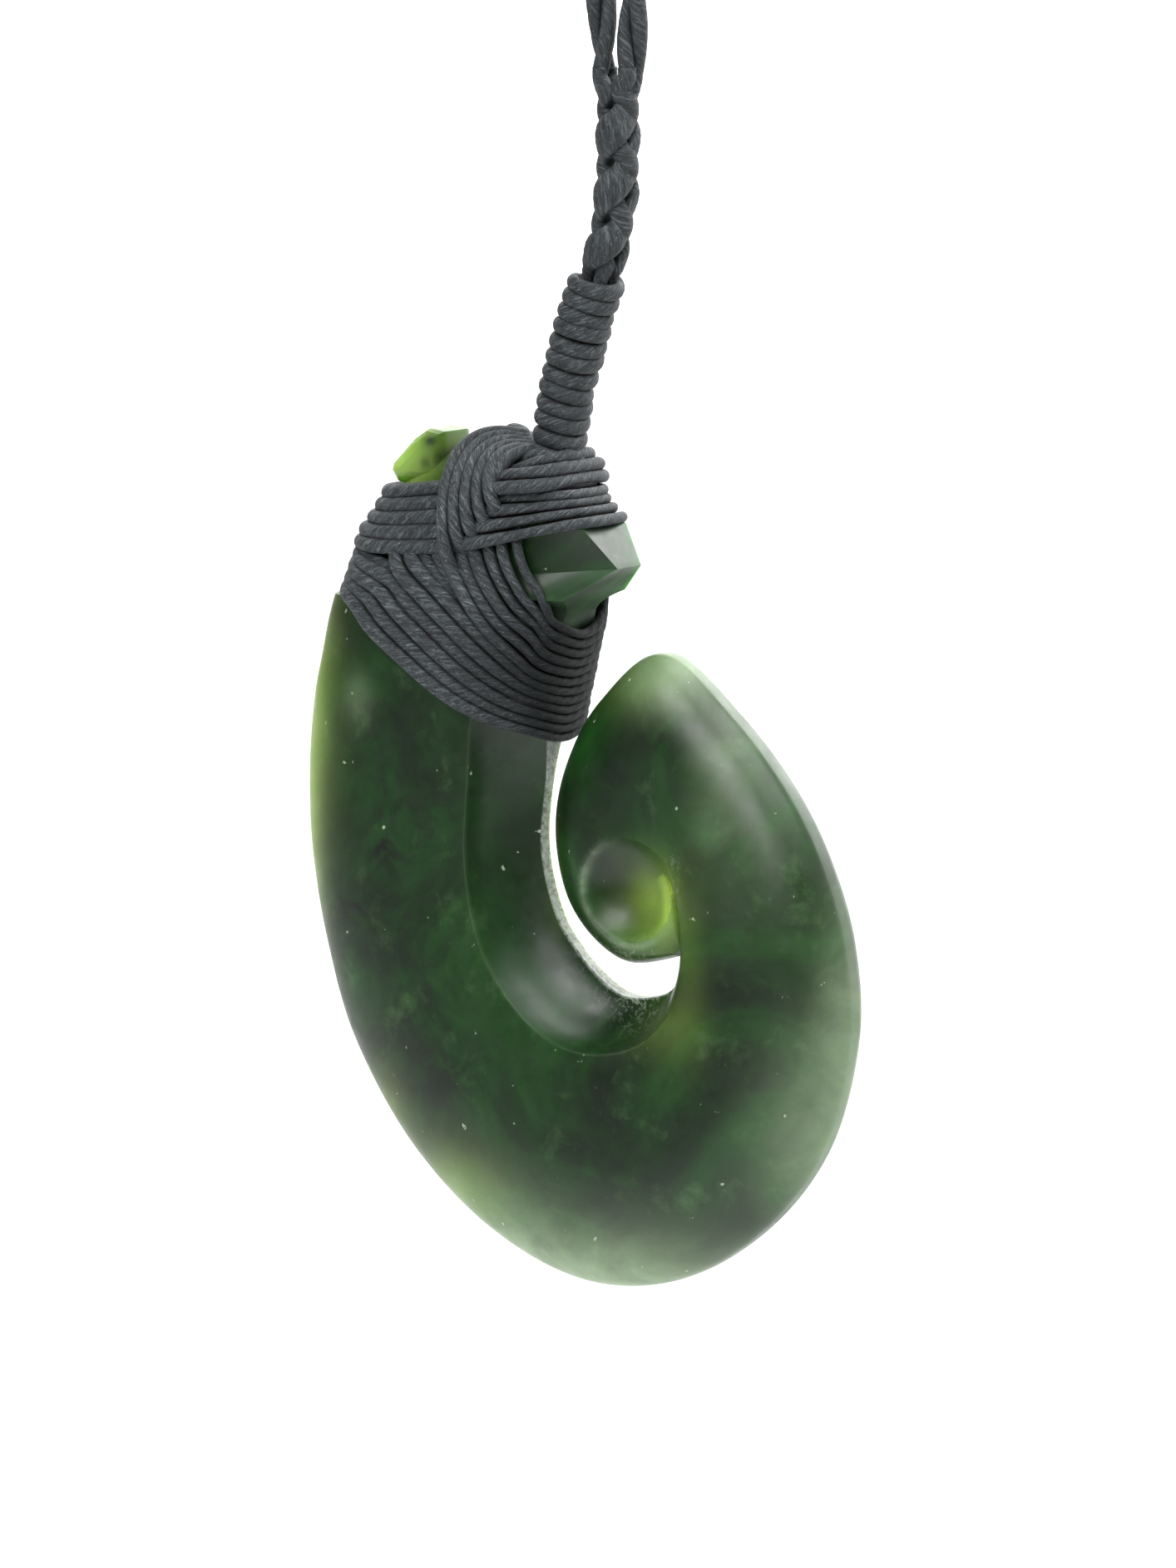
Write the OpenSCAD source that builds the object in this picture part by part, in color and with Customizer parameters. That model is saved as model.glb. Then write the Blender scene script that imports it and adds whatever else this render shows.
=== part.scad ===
// Hei matau (fish hook) pendant of green stone, lashed to a plaited neck cord.
// Millimetres. Z is up, the pendant's front faces -Y and +X is to its right.
// The origin is on top of the neck opening, where the cord rests on the neck.

/* [Stone] */
// Width of the hook
hook_w = 41.2; // [36:0.2:46]
// Height of the hook
hook_h = 55.6; // [48:0.2:62]
// Thickness of the shank at its crown
hook_t = 8.6; // [7:0.1:10]
// Diameter of the hollow in each side of the knob
dish_d = 6.6; // [5:0.1:7]
// Stone left between the two hollows of the knob
dish_floor = 2.4; // [1.6:0.1:3]
// Thickness of the lug at the head's upper left
lug_t = 4.4; // [3.5:0.1:6]
// Bevel round that lug
lug_bevel = 0.8; // [0.4:0.1:1]

/* [Lashing] */
// Diameter of the waxed cord that lashes the head
cord_d = 1; // [0.8:0.05:1.2]
// Clearance between the lashing and what it is wound on
lash_gap = 0.2; // [0.15:0.05:0.3]
// Turns of the lashing round the neck of the head
neck_turns = 5; // [3:1:7]
// Turns of the lashing that runs aslant below the head
slant_turns = 12; // [8:1:14]
// Turns of the lashing over the top of the head
saddle_turns = 5; // [3:1:6]

/* [Suspension] */
// Length of the whipping above the head
whip_l = 12; // [8:0.5:16]
// Turns of cord in the whipping
whip_turns = 12; // [8:1:16]
// Outer diameter of the whipping
whip_d = 3.7; // [3.5:0.1:4.6]
// Lean of the whipping to the right, in degrees
whip_lean = 15; // [0:1:20]
// Length of the plait between the whipping and the fork
plait_l = 12.6; // [10:0.2:18]
// Turns that each strand makes round the plait
plait_turns = 1.5; // [1:0.25:2.5]
// Width of a strand where it lies flat in the plait
strand_w = 0.95; // [0.8:0.05:1.05]
// Thickness of a strand in the plait
strand_t = 0.62; // [0.5:0.02:0.64]
// Clearance between the strands
strand_gap = 0.15; // [0.13:0.01:0.2]
// Diameter of the cord round the neck
neck_cord_d = 1.9; // [1.6:0.1:2.2]
// Width of the neck cord's loop, between the middles of its two sides
loop_w = 120; // [100:2:150]
// Height of that loop, from the fork to the back of the neck
loop_h = 250; // [200:5:320]

/* [Hidden] */

// The hook is lofted through these sections, from the top of the head down the shank,
// round the bend, up the right side, over the barb's tip and down into the knob.
// Each runs from the outer edge, OUT, to the inner edge, IN. Places are shares of hook_w
// from the left and of hook_h from the top. THICK and the two rims are shares of hook_t.
// RIDGE is where the inner bevel starts, as a share of the way from OUT to IN, and
// BEVEL is 2 where that edge is rounded, 1 where it is flat and less where it is hollow.
OUT_X = 0;
OUT_Z = 1;
IN_X = 2;
IN_Z = 3;
THICK = 4;
RIDGE = 5;
BEVEL = 6;
RIM_OUT = 7;
RIM_IN = 8;
SECTIONS = [
    [0.275, 0.040, 0.375, 0.046, 0.33, 0.80, 2.0, 0.09, 0.09],
    [0.195, 0.065, 0.485, 0.074, 0.63, 0.80, 2.0, 0.09, 0.14],
    [0.175, 0.100, 0.505, 0.096, 0.81, 0.80, 1.6, 0.09, 0.25],
    [0.135, 0.140, 0.545, 0.120, 0.91, 0.70, 1.1, 0.09, 0.60],
    [0.110, 0.195, 0.590, 0.165, 0.98, 0.64, 1.1, 0.09, 0.33],
    [0.054, 0.216, 0.525, 0.200, 1.00, 0.72, 1.1, 0.09, 0.88],
    [0.042, 0.245, 0.506, 0.214, 1.00, 0.72, 1.2, 0.09, 0.45],
    [0.030, 0.285, 0.494, 0.245, 1.00, 0.74, 1.4, 0.09, 0.42],
    [0.014, 0.340, 0.464, 0.335, 1.00, 0.77, 0.8, 0.09, 0.28],
    [0.004, 0.425, 0.448, 0.410, 1.00, 0.79, 0.7, 0.09, 0.10],
    [0.009, 0.520, 0.438, 0.495, 1.00, 0.79, 0.7, 0.09, 0.10],
    [0.037, 0.630, 0.463, 0.570, 1.00, 0.77, 0.7, 0.09, 0.10],
    [0.090, 0.745, 0.505, 0.615, 0.99, 0.76, 0.7, 0.09, 0.10],
    [0.200, 0.865, 0.550, 0.645, 0.98, 0.77, 0.7, 0.09, 0.12],
    [0.350, 0.955, 0.592, 0.660, 0.95, 0.80, 0.7, 0.09, 0.13],
    [0.520, 1.000, 0.638, 0.658, 0.93, 0.83, 0.7, 0.09, 0.16],
    [0.690, 0.985, 0.675, 0.649, 0.91, 0.86, 0.8, 0.09, 0.22],
    [0.840, 0.915, 0.701, 0.631, 0.88, 0.89, 1.3, 0.09, 0.32],
    [0.945, 0.815, 0.716, 0.606, 0.86, 0.90, 1.8, 0.09, 0.42],
    [0.992, 0.690, 0.718, 0.577, 0.84, 0.90, 2.0, 0.09, 0.46],
    [0.985, 0.585, 0.714, 0.549, 0.81, 0.90, 2.0, 0.10, 0.47],
    [0.947, 0.495, 0.704, 0.525, 0.79, 0.90, 2.0, 0.10, 0.47],
    [0.883, 0.410, 0.692, 0.513, 0.74, 0.90, 2.0, 0.10, 0.46],
    [0.780, 0.325, 0.683, 0.509, 0.70, 0.90, 2.0, 0.10, 0.45],
    [0.655, 0.260, 0.677, 0.510, 0.66, 0.90, 2.0, 0.10, 0.45],
    [0.545, 0.320, 0.673, 0.513, 0.65, 0.90, 2.0, 0.10, 0.45],
    [0.485, 0.395, 0.671, 0.518, 0.65, 0.90, 2.0, 0.10, 0.43],
    [0.465, 0.470, 0.670, 0.527, 0.65, 0.90, 2.0, 0.10, 0.41],
    [0.485, 0.545, 0.670, 0.540, 0.65, 0.90, 2.0, 0.10, 0.38],
    [0.535, 0.595, 0.671, 0.556, 0.60, 0.90, 2.0, 0.09, 0.35],
    [0.605, 0.620, 0.674, 0.572, 0.53, 0.88, 2.0, 0.09, 0.30],
    [0.660, 0.612, 0.675, 0.590, 0.32, 0.82, 2.0, 0.09, 0.18]];
// First and last of the sections at which the right lug of the head has sharp corners
LUG_FIRST = 3;
LUG_LAST = 5;
// Last section of the shank whose width the lashings follow
SHANK_LAST = 9;
// Share of the way across at which a section is thickest, and its fall to the ridge
CROWN = 0.45;
FALL = 0.07;
// Exponent of the rounded outer flank
FLANK = 0.6;

// Share of hook_w at which the line of the neck cord passes
HANG = 0.568;
// Middle of the knob's hollow, and half the knob's thickness at its rim
DISH = [0.624, 0.533];
DISH_RIM = 0.31;

// Outline of the upper left lug, as shares of hook_w and hook_h
LUG = [[0.190, 0.080], [0.178, 0.066], [0.182, 0.057], [0.222, 0.027],
    [0.245, 0.016], [0.272, 0.019], [0.276, 0.080]];

// Top and bottom edge of each lashing as shares of hook_h, at even steps across the head
// from its left edge to its right edge. The back is the same.
TOP = 0;
END = 1;
NECK_BAND = [[0.084, 0.157], [0.080, 0.158], [0.074, 0.156], [0.068, 0.151],
    [0.064, 0.140], [0.062, 0.124], [0.064, 0.107]];
SLANT_BAND = [[0.166, 0.202], [0.166, 0.208], [0.164, 0.241], [0.159, 0.287],
    [0.152, 0.326], [0.191, 0.356], [0.230, 0.366]];
// Roundness of a turn of lashing seen from above, round the left edge and round the right:
// 2 is an ellipse, more is squarer
WRAP_LEFT = 3;
WRAP_RIGHT = 3.7;
WRAP_STEPS = 36;

// The lashing over the top, as shares of hook_w: middle and half width on the crest
// and at its two ends, and of hook_h: the height of those ends and of its crest
SADDLE_CREST = [0.360, 0.047];
SADDLE_ENDS = [0.363, 0.022];
SADDLE_LOW = 0.150;
SADDLE_HIGH = 0.036;
// Height of the valleys between its turns at its ends and on the crest, in cord diameters
SADDLE_VALLEY = [0.9, 0.5];
SADDLE_STEPS = 22;

// Foot of the whipping's axis, as shares of hook_w and hook_h
WHIP_FOOT = [0.459, 0.042];
// How far the strands reach below the whipping, and half their spacing inside it
STRAND_TAIL = 0.4;
STRAND_SEAT = 0.68;
STRAND_D = 0.84;
// Half spacing of the strands at the fork, across and along the line of sight
FORK = [1, 0.5];
// Lengths over which the strands open out of the whipping and into the fork, untwisted
OPEN_OUT = 0.9;
OPEN_FORK = 1;
// How much more than the whipping the plait leans at its foot
LEAN_ON = 1.6;

// Right half of the neck cord's way, from the fork up to the back of the neck: how far out
// it is as a share of half loop_w, and its height as a share of loop_h
ROUTE = [[0, -1], [0.004, -0.984], [0.018, -0.96], [0.053, -0.92], [0.12, -0.856],
    [0.221, -0.78], [0.356, -0.688], [0.507, -0.592], [0.657, -0.496], [0.792, -0.408],
    [0.914, -0.328], [0.983, -0.26], [1, -0.2], [0.951, -0.14], [0.834, -0.084],
    [0.647, -0.04], [0.432, -0.012], [0.216, 0.001], [0, 0.004]];

// Derived places
neck_r = neck_cord_d / 2;
hang = [0, 0, -loop_h - neck_r - strand_gap];
axis = [sin(whip_lean), 0, cos(whip_lean)];
foot_x = (WHIP_FOOT[0] - HANG) * hook_w;
stone_top = hang[2] - plait_l - whip_l * cos(whip_lean) + WHIP_FOOT[1] * hook_h;

// A share of the hook's width and height as a place in x and z
function place(u, v) = [(u - HANG) * hook_w, stone_top - v * hook_h];

// Point f of the way from p to q on a smooth curve that has slopes m and n there
function ease(p, q, m, n, f) =
    (2 * f ^ 3 - 3 * f ^ 2 + 1) * p + (f ^ 3 - 2 * f ^ 2 + f) * m
    + (3 * f ^ 2 - 2 * f ^ 3) * q + (f ^ 3 - f ^ 2) * n;
// Slope of a table at row i: level at the sharp rows, and one-sided at its ends
function slope(rows, i, first, last) =
    (i >= first && i <= last) ? 0 * rows[i]
    : (rows[min(i + 1, len(rows) - 1)] - rows[max(i - 1, 0)]) / 2;
// A table read smoothly at t, counted in rows
function between(rows, t, first = -1, last = -2) =
    let (i = min(floor(t), len(rows) - 2))
    ease(rows[i], rows[i + 1], slope(rows, i, first, last), slope(rows, i + 1, first, last), t - i);
function smooth(f) = let (g = min(max(f, 0), 1)) g * g * (3 - 2 * g);

// Half thickness of section r at share s of its width
function half_thick(r, s) =
    let (crown = r[THICK] * hook_t / 2, ridge = crown * (1 - FALL),
        rim_out = r[RIM_OUT] * hook_t / 2, rim_in = min(r[RIM_IN] * hook_t / 2, ridge),
        w = (s - r[RIDGE]) / (1 - r[RIDGE]))
    s <= CROWN ? rim_out + (crown - rim_out) * (1 - (1 - s / CROWN) ^ 2) ^ FLANK
    : s <= r[RIDGE] ? crown - (crown - ridge) * ((s - CROWN) / (r[RIDGE] - CROWN)) ^ 2
    : rim_in + (ridge - rim_in) * max(1 - max(w, 0) ^ r[BEVEL], 0) ^ (1 / r[BEVEL]);
STEPS_OUT = 6;
STEPS_MID = 3;
STEPS_IN = 4;
STEPS_ROW = 3;
// Shares across a section, close together where it curves most
function across(r) = concat(
    [for (j = [0:STEPS_OUT]) CROWN * (1 - cos(90 * j / STEPS_OUT))],
    [for (j = [1:STEPS_MID]) CROWN + (r[RIDGE] - CROWN) * j / STEPS_MID],
    [for (j = [1:STEPS_IN]) r[RIDGE] + (1 - r[RIDGE]) * sin(90 * j / STEPS_IN)]);
function section(r) =
    let (a = place(r[OUT_X], r[OUT_Z]), b = place(r[IN_X], r[IN_Z]),
        front = [for (s = across(r)) let (p = a + s * (b - a)) [p[0], half_thick(r, s), p[1]]],
        n = len(front) - 1)
    concat([for (p = front) [p[0], -p[1], p[2]]], [for (i = [n:-1:0]) front[i]]);

// A solid through rings of points, closed on itself or capped at both ends
module loft(rings, closed = false) {
    n = len(rings[0]);
    m = len(rings);
    last = closed ? m - 1 : m - 2;
    sides = [for (i = [0:last]) for (j = [0:n - 1])
        let (a = i * n + j, b = i * n + (j + 1) % n, c = ((i + 1) % m) * n + j,
            d = ((i + 1) % m) * n + (j + 1) % n)
        each [[a, b, d], [a, d, c]]];
    caps = closed ? [] : [[for (j = [n:-1:1]) j % n], [for (j = [0:n - 1]) (m - 1) * n + j]];
    polyhedron([for (r = rings) each r], concat(sides, caps), convexity = 6);
}

module lug_plate(thickness, inset) {
    translate([0, thickness / 2, 0])
        rotate([90, 0, 0])
            linear_extrude(thickness)
                offset(delta = -inset)
                    polygon([for (q = LUG) place(q[0], q[1])]);
}

// The ball that grinds the knob's hollow: its depth there and its radius
dish_deep = DISH_RIM * hook_t - dish_floor / 2;
dish_ball = (dish_d * dish_d / 4 + dish_deep * dish_deep) / (2 * dish_deep);
module hook() {
    dish = place(DISH[0], DISH[1]);
    color("darkgreen")
        difference() {
            union() {
                loft([for (t = [0:1 / STEPS_ROW:len(SECTIONS) - 1 + 0.01])
                    section(between(SECTIONS, min(t, len(SECTIONS) - 1), LUG_FIRST, LUG_LAST))]);
                hull() {
                    lug_plate(lug_t, lug_bevel);
                    lug_plate(lug_t - 2 * lug_bevel, 0);
                }
            }
            for (side = [-1, 1])
                translate([dish[0], side * (dish_floor / 2 + dish_ball), dish[1]])
                    sphere(dish_ball, $fn = 60);
        }
}

// The head's left and right edges and half its thickness at height z
SHANK_ROWS = [for (i = [0:SHANK_LAST * STEPS_ROW])
    between(SECTIONS, i / STEPS_ROW, LUG_FIRST, LUG_LAST)];
function crown_z(r) = place(0, r[OUT_Z] + CROWN * (r[IN_Z] - r[OUT_Z]))[1];
function left_edge(z) = lookup(z, [for (r = SHANK_ROWS) [place(0, r[OUT_Z])[1], place(r[OUT_X], 0)[0]]]);
function right_edge(z) = lookup(z, [for (r = SHANK_ROWS) [place(0, r[IN_Z])[1], place(r[IN_X], 0)[0]]]);
function head_half(z) = lookup(z, [for (r = SHANK_ROWS) [crown_z(r), r[THICK] * hook_t / 2]]);
// Point at angle a on a rounded square of half width 1: n is its squareness
function rounded(a, n) = [cos(a), sin(a)] / (abs(cos(a)) ^ n + abs(sin(a)) ^ n) ^ (1 / n);

// Point of a band at share p of its height, angle a round the head, off the stone by o
function wrap_point(rows, p, a, o) =
    let (last = len(rows) - 1,
        q = rounded(a, cos(a) < 0 ? WRAP_LEFT : WRAP_RIGHT),
        edges = between(rows, (1 + q[0]) / 2 * last),
        z = place(0, edges[TOP] + p * (edges[END] - edges[TOP]))[1],
        left = place(0, rows[0][TOP] + p * (rows[0][END] - rows[0][TOP]))[1],
        right = place(0, rows[last][TOP] + p * (rows[last][END] - rows[last][TOP]))[1],
        x0 = left_edge(left) - o,
        x1 = right_edge(right) + o)
    [(x0 + x1) / 2 + (x1 - x0) / 2 * q[0], (head_half(z) + o) * q[1], z];
// Shares of a band's height and how far its surface stands off there, from its inner
// face over a ridge for each turn and back. low, valley and high are the offsets.
function ridged(turns, low, valley, high) = concat(
    [[0, low]],
    [for (k = [0:turns - 1]) each [[k / turns, valley], [(k + 0.27) / turns, high],
        [(k + 0.73) / turns, high]]],
    [[1, valley], [1, low]]);

module band(turns, rows) {
    shape = concat(ridged(turns, lash_gap, lash_gap + cord_d / 2, lash_gap + cord_d),
        [for (f = [0.75, 0.5, 0.25]) [f, lash_gap]]);
    loft([for (i = [0:WRAP_STEPS - 1])
        [for (q = shape) wrap_point(rows, q[0], -360 * i / WRAP_STEPS, q[1])]], closed = true);
}

module neck_lashing() {
    color("dimgray") band(neck_turns, NECK_BAND);
}

module slant_lashing() {
    color("dimgray") band(slant_turns, SLANT_BAND);
}

// The saddle passes over the neck lashing, in an arch from the front to the back
saddle_out = lash_gap + cord_d + lash_gap;
module saddle_lashing() {
    foot = stone_top - SADDLE_LOW * hook_h;
    crest = stone_top - SADDLE_HIGH * hook_h;
    deep = head_half(foot) + saddle_out;
    color("dimgray")
        loft([for (i = [0:SADDLE_STEPS])
            let (a = 180 * i / SADDLE_STEPS, arch = rounded(a, WRAP_LEFT), f = sin(a),
                mid = SADDLE_ENDS[0] + f * (SADDLE_CREST[0] - SADDLE_ENDS[0]),
                half = SADDLE_ENDS[1] + f * (SADDLE_CREST[1] - SADDLE_ENDS[1]),
                valley = cord_d * (SADDLE_VALLEY[0] + f * (SADDLE_VALLEY[1] - SADDLE_VALLEY[0])))
            [for (q = concat([[0.5, 0]], ridged(saddle_turns, 0, valley, cord_d)))
                [place(mid + (2 * q[0] - 1) * half, 0)[0],
                    arch[0] * (deep + q[1]),
                    foot + arch[1] * (crest - foot + q[1])]]]);
}

whip_foot = [foot_x, 0, place(0, WHIP_FOOT[1])[1]];
whip_bore = 2 * STRAND_SEAT + STRAND_D + 2 * strand_gap;
module whipping() {
    pitch = whip_l / whip_turns;
    dip = cord_d / 5;
    color("dimgray")
        translate(whip_foot)
            rotate([0, whip_lean, 0])
                rotate_extrude($fn = 48)
                    polygon(concat([[whip_bore / 2, 0]],
                        [for (k = [0:whip_turns - 1]) each [[whip_d / 2 - dip, k * pitch],
                            [whip_d / 2, (k + 0.3) * pitch], [whip_d / 2, (k + 0.7) * pitch]]],
                        [[whip_d / 2 - dip, whip_l], [whip_bore / 2, whip_l]]));
}

// The plait's middle line: straight through the whipping, then a bend to upright
whip_head = whip_foot + whip_l * axis;
function plait_mid(u) =
    u <= whip_l ? whip_foot + u * axis
    : let (f = (u - whip_l) / plait_l)
        ease(whip_head, hang, [axis[0] * LEAN_ON, 0, axis[2]] * plait_l, [0, 0, plait_l], f);
// Direction across the plait in the plane of the hook
function plait_side(u) =
    let (d = plait_mid(u + 0.05) - plait_mid(u - 0.05))
    [d[2], 0, -d[0]] / norm(d);

STRAND_SIDES = 10;
STRAND_RINGS = 30;
WHIP_RINGS = 3;
mid_r = strand_t + strand_gap;
swing = (strand_t + strand_gap) / 2;
// Where strand i is round the middle line at height u: it turns one way if i is even and
// the other way if i is odd, and lies over and under the others by turns
function strand_ring(i, u) =
    let (run = min(max((u - whip_l - OPEN_OUT) / (plait_l - OPEN_OUT - OPEN_FORK), 0), 1),
        way = i % 2 == 0 ? 1 : -1,
        turn = 360 * plait_turns * run,
        over = sin(2 * turn) * (1.25 - 0.25 * sin(2 * turn) ^ 2),
        angle = 45 + 90 * i + way * turn,
        open = smooth((u - whip_l) / OPEN_OUT),
        fork = smooth((u - whip_l - plait_l + OPEN_FORK) / OPEN_FORK),
        r = STRAND_SEAT + open * (mid_r + way * swing * over - STRAND_SEAT),
        flat = open * (1 - fork),
        half_w = STRAND_D / 2 + flat * (strand_w - STRAND_D) / 2,
        half_t = STRAND_D / 2 + flat * (strand_t - STRAND_D) / 2,
        at = [r * cos(angle), r * sin(angle)],
        end = [FORK[0] * sign(at[0]), FORK[1] * sign(at[1])],
        spot = at + fork * (end - at),
        mid = plait_mid(u), side = plait_side(u))
    [for (k = [0:STRAND_SIDES - 1])
        let (b = -360 * k / STRAND_SIDES,
            q = [half_t * cos(b), half_w * sin(b)],
            e = [q[0] * cos(angle) - q[1] * sin(angle), q[0] * sin(angle) + q[1] * cos(angle)] + spot)
        mid + side * e[0] + [0, e[1], 0]];

module strand(i) {
    color("darkslategray")
        loft([for (k = [0:WHIP_RINGS]) strand_ring(i, -STRAND_TAIL + k * (whip_l + STRAND_TAIL) / WHIP_RINGS),
            for (k = [1:STRAND_RINGS]) strand_ring(i, whip_l + k * plait_l / STRAND_RINGS)]);
}

// The neck cord's whole way: up the left side, round the neck and down the right. Its two
// sides leave the fork as far apart as the strands are there.
NECK_RINGS = 40;
NECK_SIDES = 8;
function route_point(t) =
    let (side = t < 0 ? -1 : 1, p = between(ROUTE, (1 - abs(t)) * (len(ROUTE) - 1)))
    [side * (FORK[0] * abs(t) + p[0] * loop_w / 2), 0, p[1] * loop_h - neck_r];
module neck_cord() {
    color("darkslategray")
        loft([for (k = [-NECK_RINGS:NECK_RINGS])
            let (t = k / NECK_RINGS,
                p = route_point(t),
                d = route_point(min(t + 0.004, 1)) - route_point(max(t - 0.004, -1)),
                side = [d[2], 0, -d[0]] / norm(d))
            [for (j = [0:NECK_SIDES - 1])
                let (b = -360 * (j + 0.5) / NECK_SIDES)
                p + neck_r * (cos(b) * side + [0, sin(b), 0])]]);
}

hook();
neck_lashing();
slant_lashing();
saddle_lashing();
whipping();
strand(0);  // strand_a
strand(1);  // strand_b
strand(2);  // strand_c
strand(3);  // strand_d
neck_cord();
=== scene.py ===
"""Looks of a hei matau pendant: a carved greenstone fish hook, lashed to a plaited neck cord.

Sizes are in millimetres until a mesh is made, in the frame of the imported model:
+Z is up, the front faces -Y and the origin is at the top of the neck opening.
"""

import math

import bmesh
import bpy
import numpy as np
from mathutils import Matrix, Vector
from mathutils.bvhtree import BVHTree
from mathutils.kdtree import KDTree


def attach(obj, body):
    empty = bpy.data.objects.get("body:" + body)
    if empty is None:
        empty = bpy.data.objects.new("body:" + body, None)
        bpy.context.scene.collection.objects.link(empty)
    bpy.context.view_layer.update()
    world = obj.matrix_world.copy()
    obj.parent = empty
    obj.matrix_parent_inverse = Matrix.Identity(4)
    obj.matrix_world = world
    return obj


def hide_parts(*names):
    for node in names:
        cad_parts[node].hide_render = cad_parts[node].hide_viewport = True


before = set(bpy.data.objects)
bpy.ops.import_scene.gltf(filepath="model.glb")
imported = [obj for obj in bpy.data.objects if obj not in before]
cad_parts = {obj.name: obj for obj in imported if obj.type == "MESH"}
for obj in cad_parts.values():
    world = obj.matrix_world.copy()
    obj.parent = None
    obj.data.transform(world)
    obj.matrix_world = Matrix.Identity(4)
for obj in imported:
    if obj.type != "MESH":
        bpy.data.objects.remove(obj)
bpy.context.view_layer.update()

MM = 0.001
rng = np.random.default_rng(20)

# Driving sizes of the pendant, as in its construction
HOOK_W = 41.2
HOOK_H = 55.6
HOOK_T = 8.6
DISH_D = 6.9
DISH_FLOOR = 2.4
LUG_T = 4.4
LUG_BEVEL = 0.8
NECK_TURNS = 5
SLANT_TURNS = 12
SADDLE_TURNS = 5
WHIP_L = 12.0
WHIP_TURNS = 12
WHIP_D = 3.7
WHIP_LEAN = math.radians(15)
PLAIT_L = 12.6
PLAIT_TURNS = 1.5
STRAND_T = 0.62
STRAND_GAP = 0.15
NECK_CORD_D = 1.9
LOOP_W = 120.0
LOOP_H = 250.0

# The hook's sections, from the top of the head down the shank, round the bend, up the
# right side, over the barb's tip and down into the knob. Places are shares of HOOK_W from
# the left and of HOOK_H from the top; THICK and the rims are shares of HOOK_T.
OUT_X, OUT_Z, IN_X, IN_Z, THICK, RIDGE, BEVEL, RIM_OUT, RIM_IN = range(9)
SECTIONS = np.array([
    [0.275, 0.040, 0.375, 0.046, 0.33, 0.80, 2.0, 0.09, 0.09],
    [0.195, 0.065, 0.485, 0.074, 0.63, 0.80, 2.0, 0.09, 0.14],
    [0.175, 0.100, 0.505, 0.096, 0.81, 0.80, 1.6, 0.09, 0.25],
    [0.135, 0.140, 0.545, 0.120, 0.91, 0.70, 1.0, 0.09, 0.60],
    [0.110, 0.195, 0.590, 0.165, 0.98, 0.64, 1.0, 0.09, 0.33],
    [0.054, 0.216, 0.525, 0.200, 1.00, 0.72, 1.0, 0.09, 0.88],
    [0.042, 0.245, 0.506, 0.214, 1.00, 0.72, 1.2, 0.09, 0.45],
    [0.030, 0.285, 0.494, 0.245, 1.00, 0.74, 1.4, 0.09, 0.42],
    [0.014, 0.340, 0.464, 0.335, 1.00, 0.77, 0.8, 0.09, 0.28],
    [0.004, 0.425, 0.448, 0.410, 1.00, 0.79, 0.7, 0.09, 0.10],
    [0.009, 0.520, 0.438, 0.495, 1.00, 0.79, 0.7, 0.09, 0.10],
    [0.037, 0.630, 0.463, 0.570, 1.00, 0.77, 0.7, 0.09, 0.10],
    [0.090, 0.745, 0.505, 0.615, 0.99, 0.76, 0.7, 0.09, 0.10],
    [0.200, 0.865, 0.550, 0.645, 0.98, 0.77, 0.7, 0.09, 0.12],
    [0.350, 0.955, 0.592, 0.660, 0.95, 0.80, 0.7, 0.09, 0.13],
    [0.520, 1.000, 0.638, 0.658, 0.93, 0.83, 0.7, 0.09, 0.16],
    [0.690, 0.985, 0.675, 0.649, 0.91, 0.86, 0.8, 0.09, 0.22],
    [0.840, 0.915, 0.701, 0.631, 0.88, 0.89, 1.3, 0.09, 0.32],
    [0.945, 0.815, 0.716, 0.606, 0.86, 0.90, 1.8, 0.09, 0.42],
    [0.992, 0.690, 0.718, 0.577, 0.84, 0.90, 2.0, 0.09, 0.46],
    [0.985, 0.585, 0.714, 0.549, 0.81, 0.90, 2.0, 0.10, 0.47],
    [0.947, 0.495, 0.704, 0.525, 0.79, 0.90, 2.0, 0.10, 0.47],
    [0.883, 0.410, 0.692, 0.513, 0.74, 0.90, 2.0, 0.10, 0.46],
    [0.780, 0.325, 0.683, 0.509, 0.70, 0.90, 2.0, 0.10, 0.45],
    [0.655, 0.260, 0.681, 0.509, 0.66, 0.90, 2.0, 0.10, 0.45],
    [0.545, 0.320, 0.684, 0.512, 0.65, 0.90, 2.0, 0.10, 0.45],
    [0.485, 0.395, 0.690, 0.517, 0.65, 0.90, 2.0, 0.10, 0.43],
    [0.465, 0.470, 0.698, 0.526, 0.65, 0.90, 2.0, 0.10, 0.41],
    [0.485, 0.545, 0.706, 0.541, 0.65, 0.90, 2.0, 0.10, 0.38],
    [0.535, 0.595, 0.711, 0.557, 0.60, 0.90, 2.0, 0.09, 0.35],
    [0.605, 0.620, 0.714, 0.573, 0.53, 0.88, 2.0, 0.09, 0.30],
    [0.696, 0.606, 0.713, 0.590, 0.45, 0.86, 2.0, 0.09, 0.28]])
# Rows of the right lug, between which the sections don't bulge, and the shank's last row
LUG_ROWS = (3, 5)
SHANK_LAST = 9
# A section is thickest at CROWN of its width, thinner by FALL at its ridge, and its outer
# flank is round with a FLANK of 0.5 and flatter above that
CROWN = 0.45
FALL = 0.07
FLANK = 0.6
HANG = 0.568
DISH = (0.627, 0.533)
DISH_RIM = 0.31
LUG = [(0.190, 0.080), (0.178, 0.066), (0.182, 0.057), (0.222, 0.027),
       (0.245, 0.016), (0.272, 0.019), (0.276, 0.080)]
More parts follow.
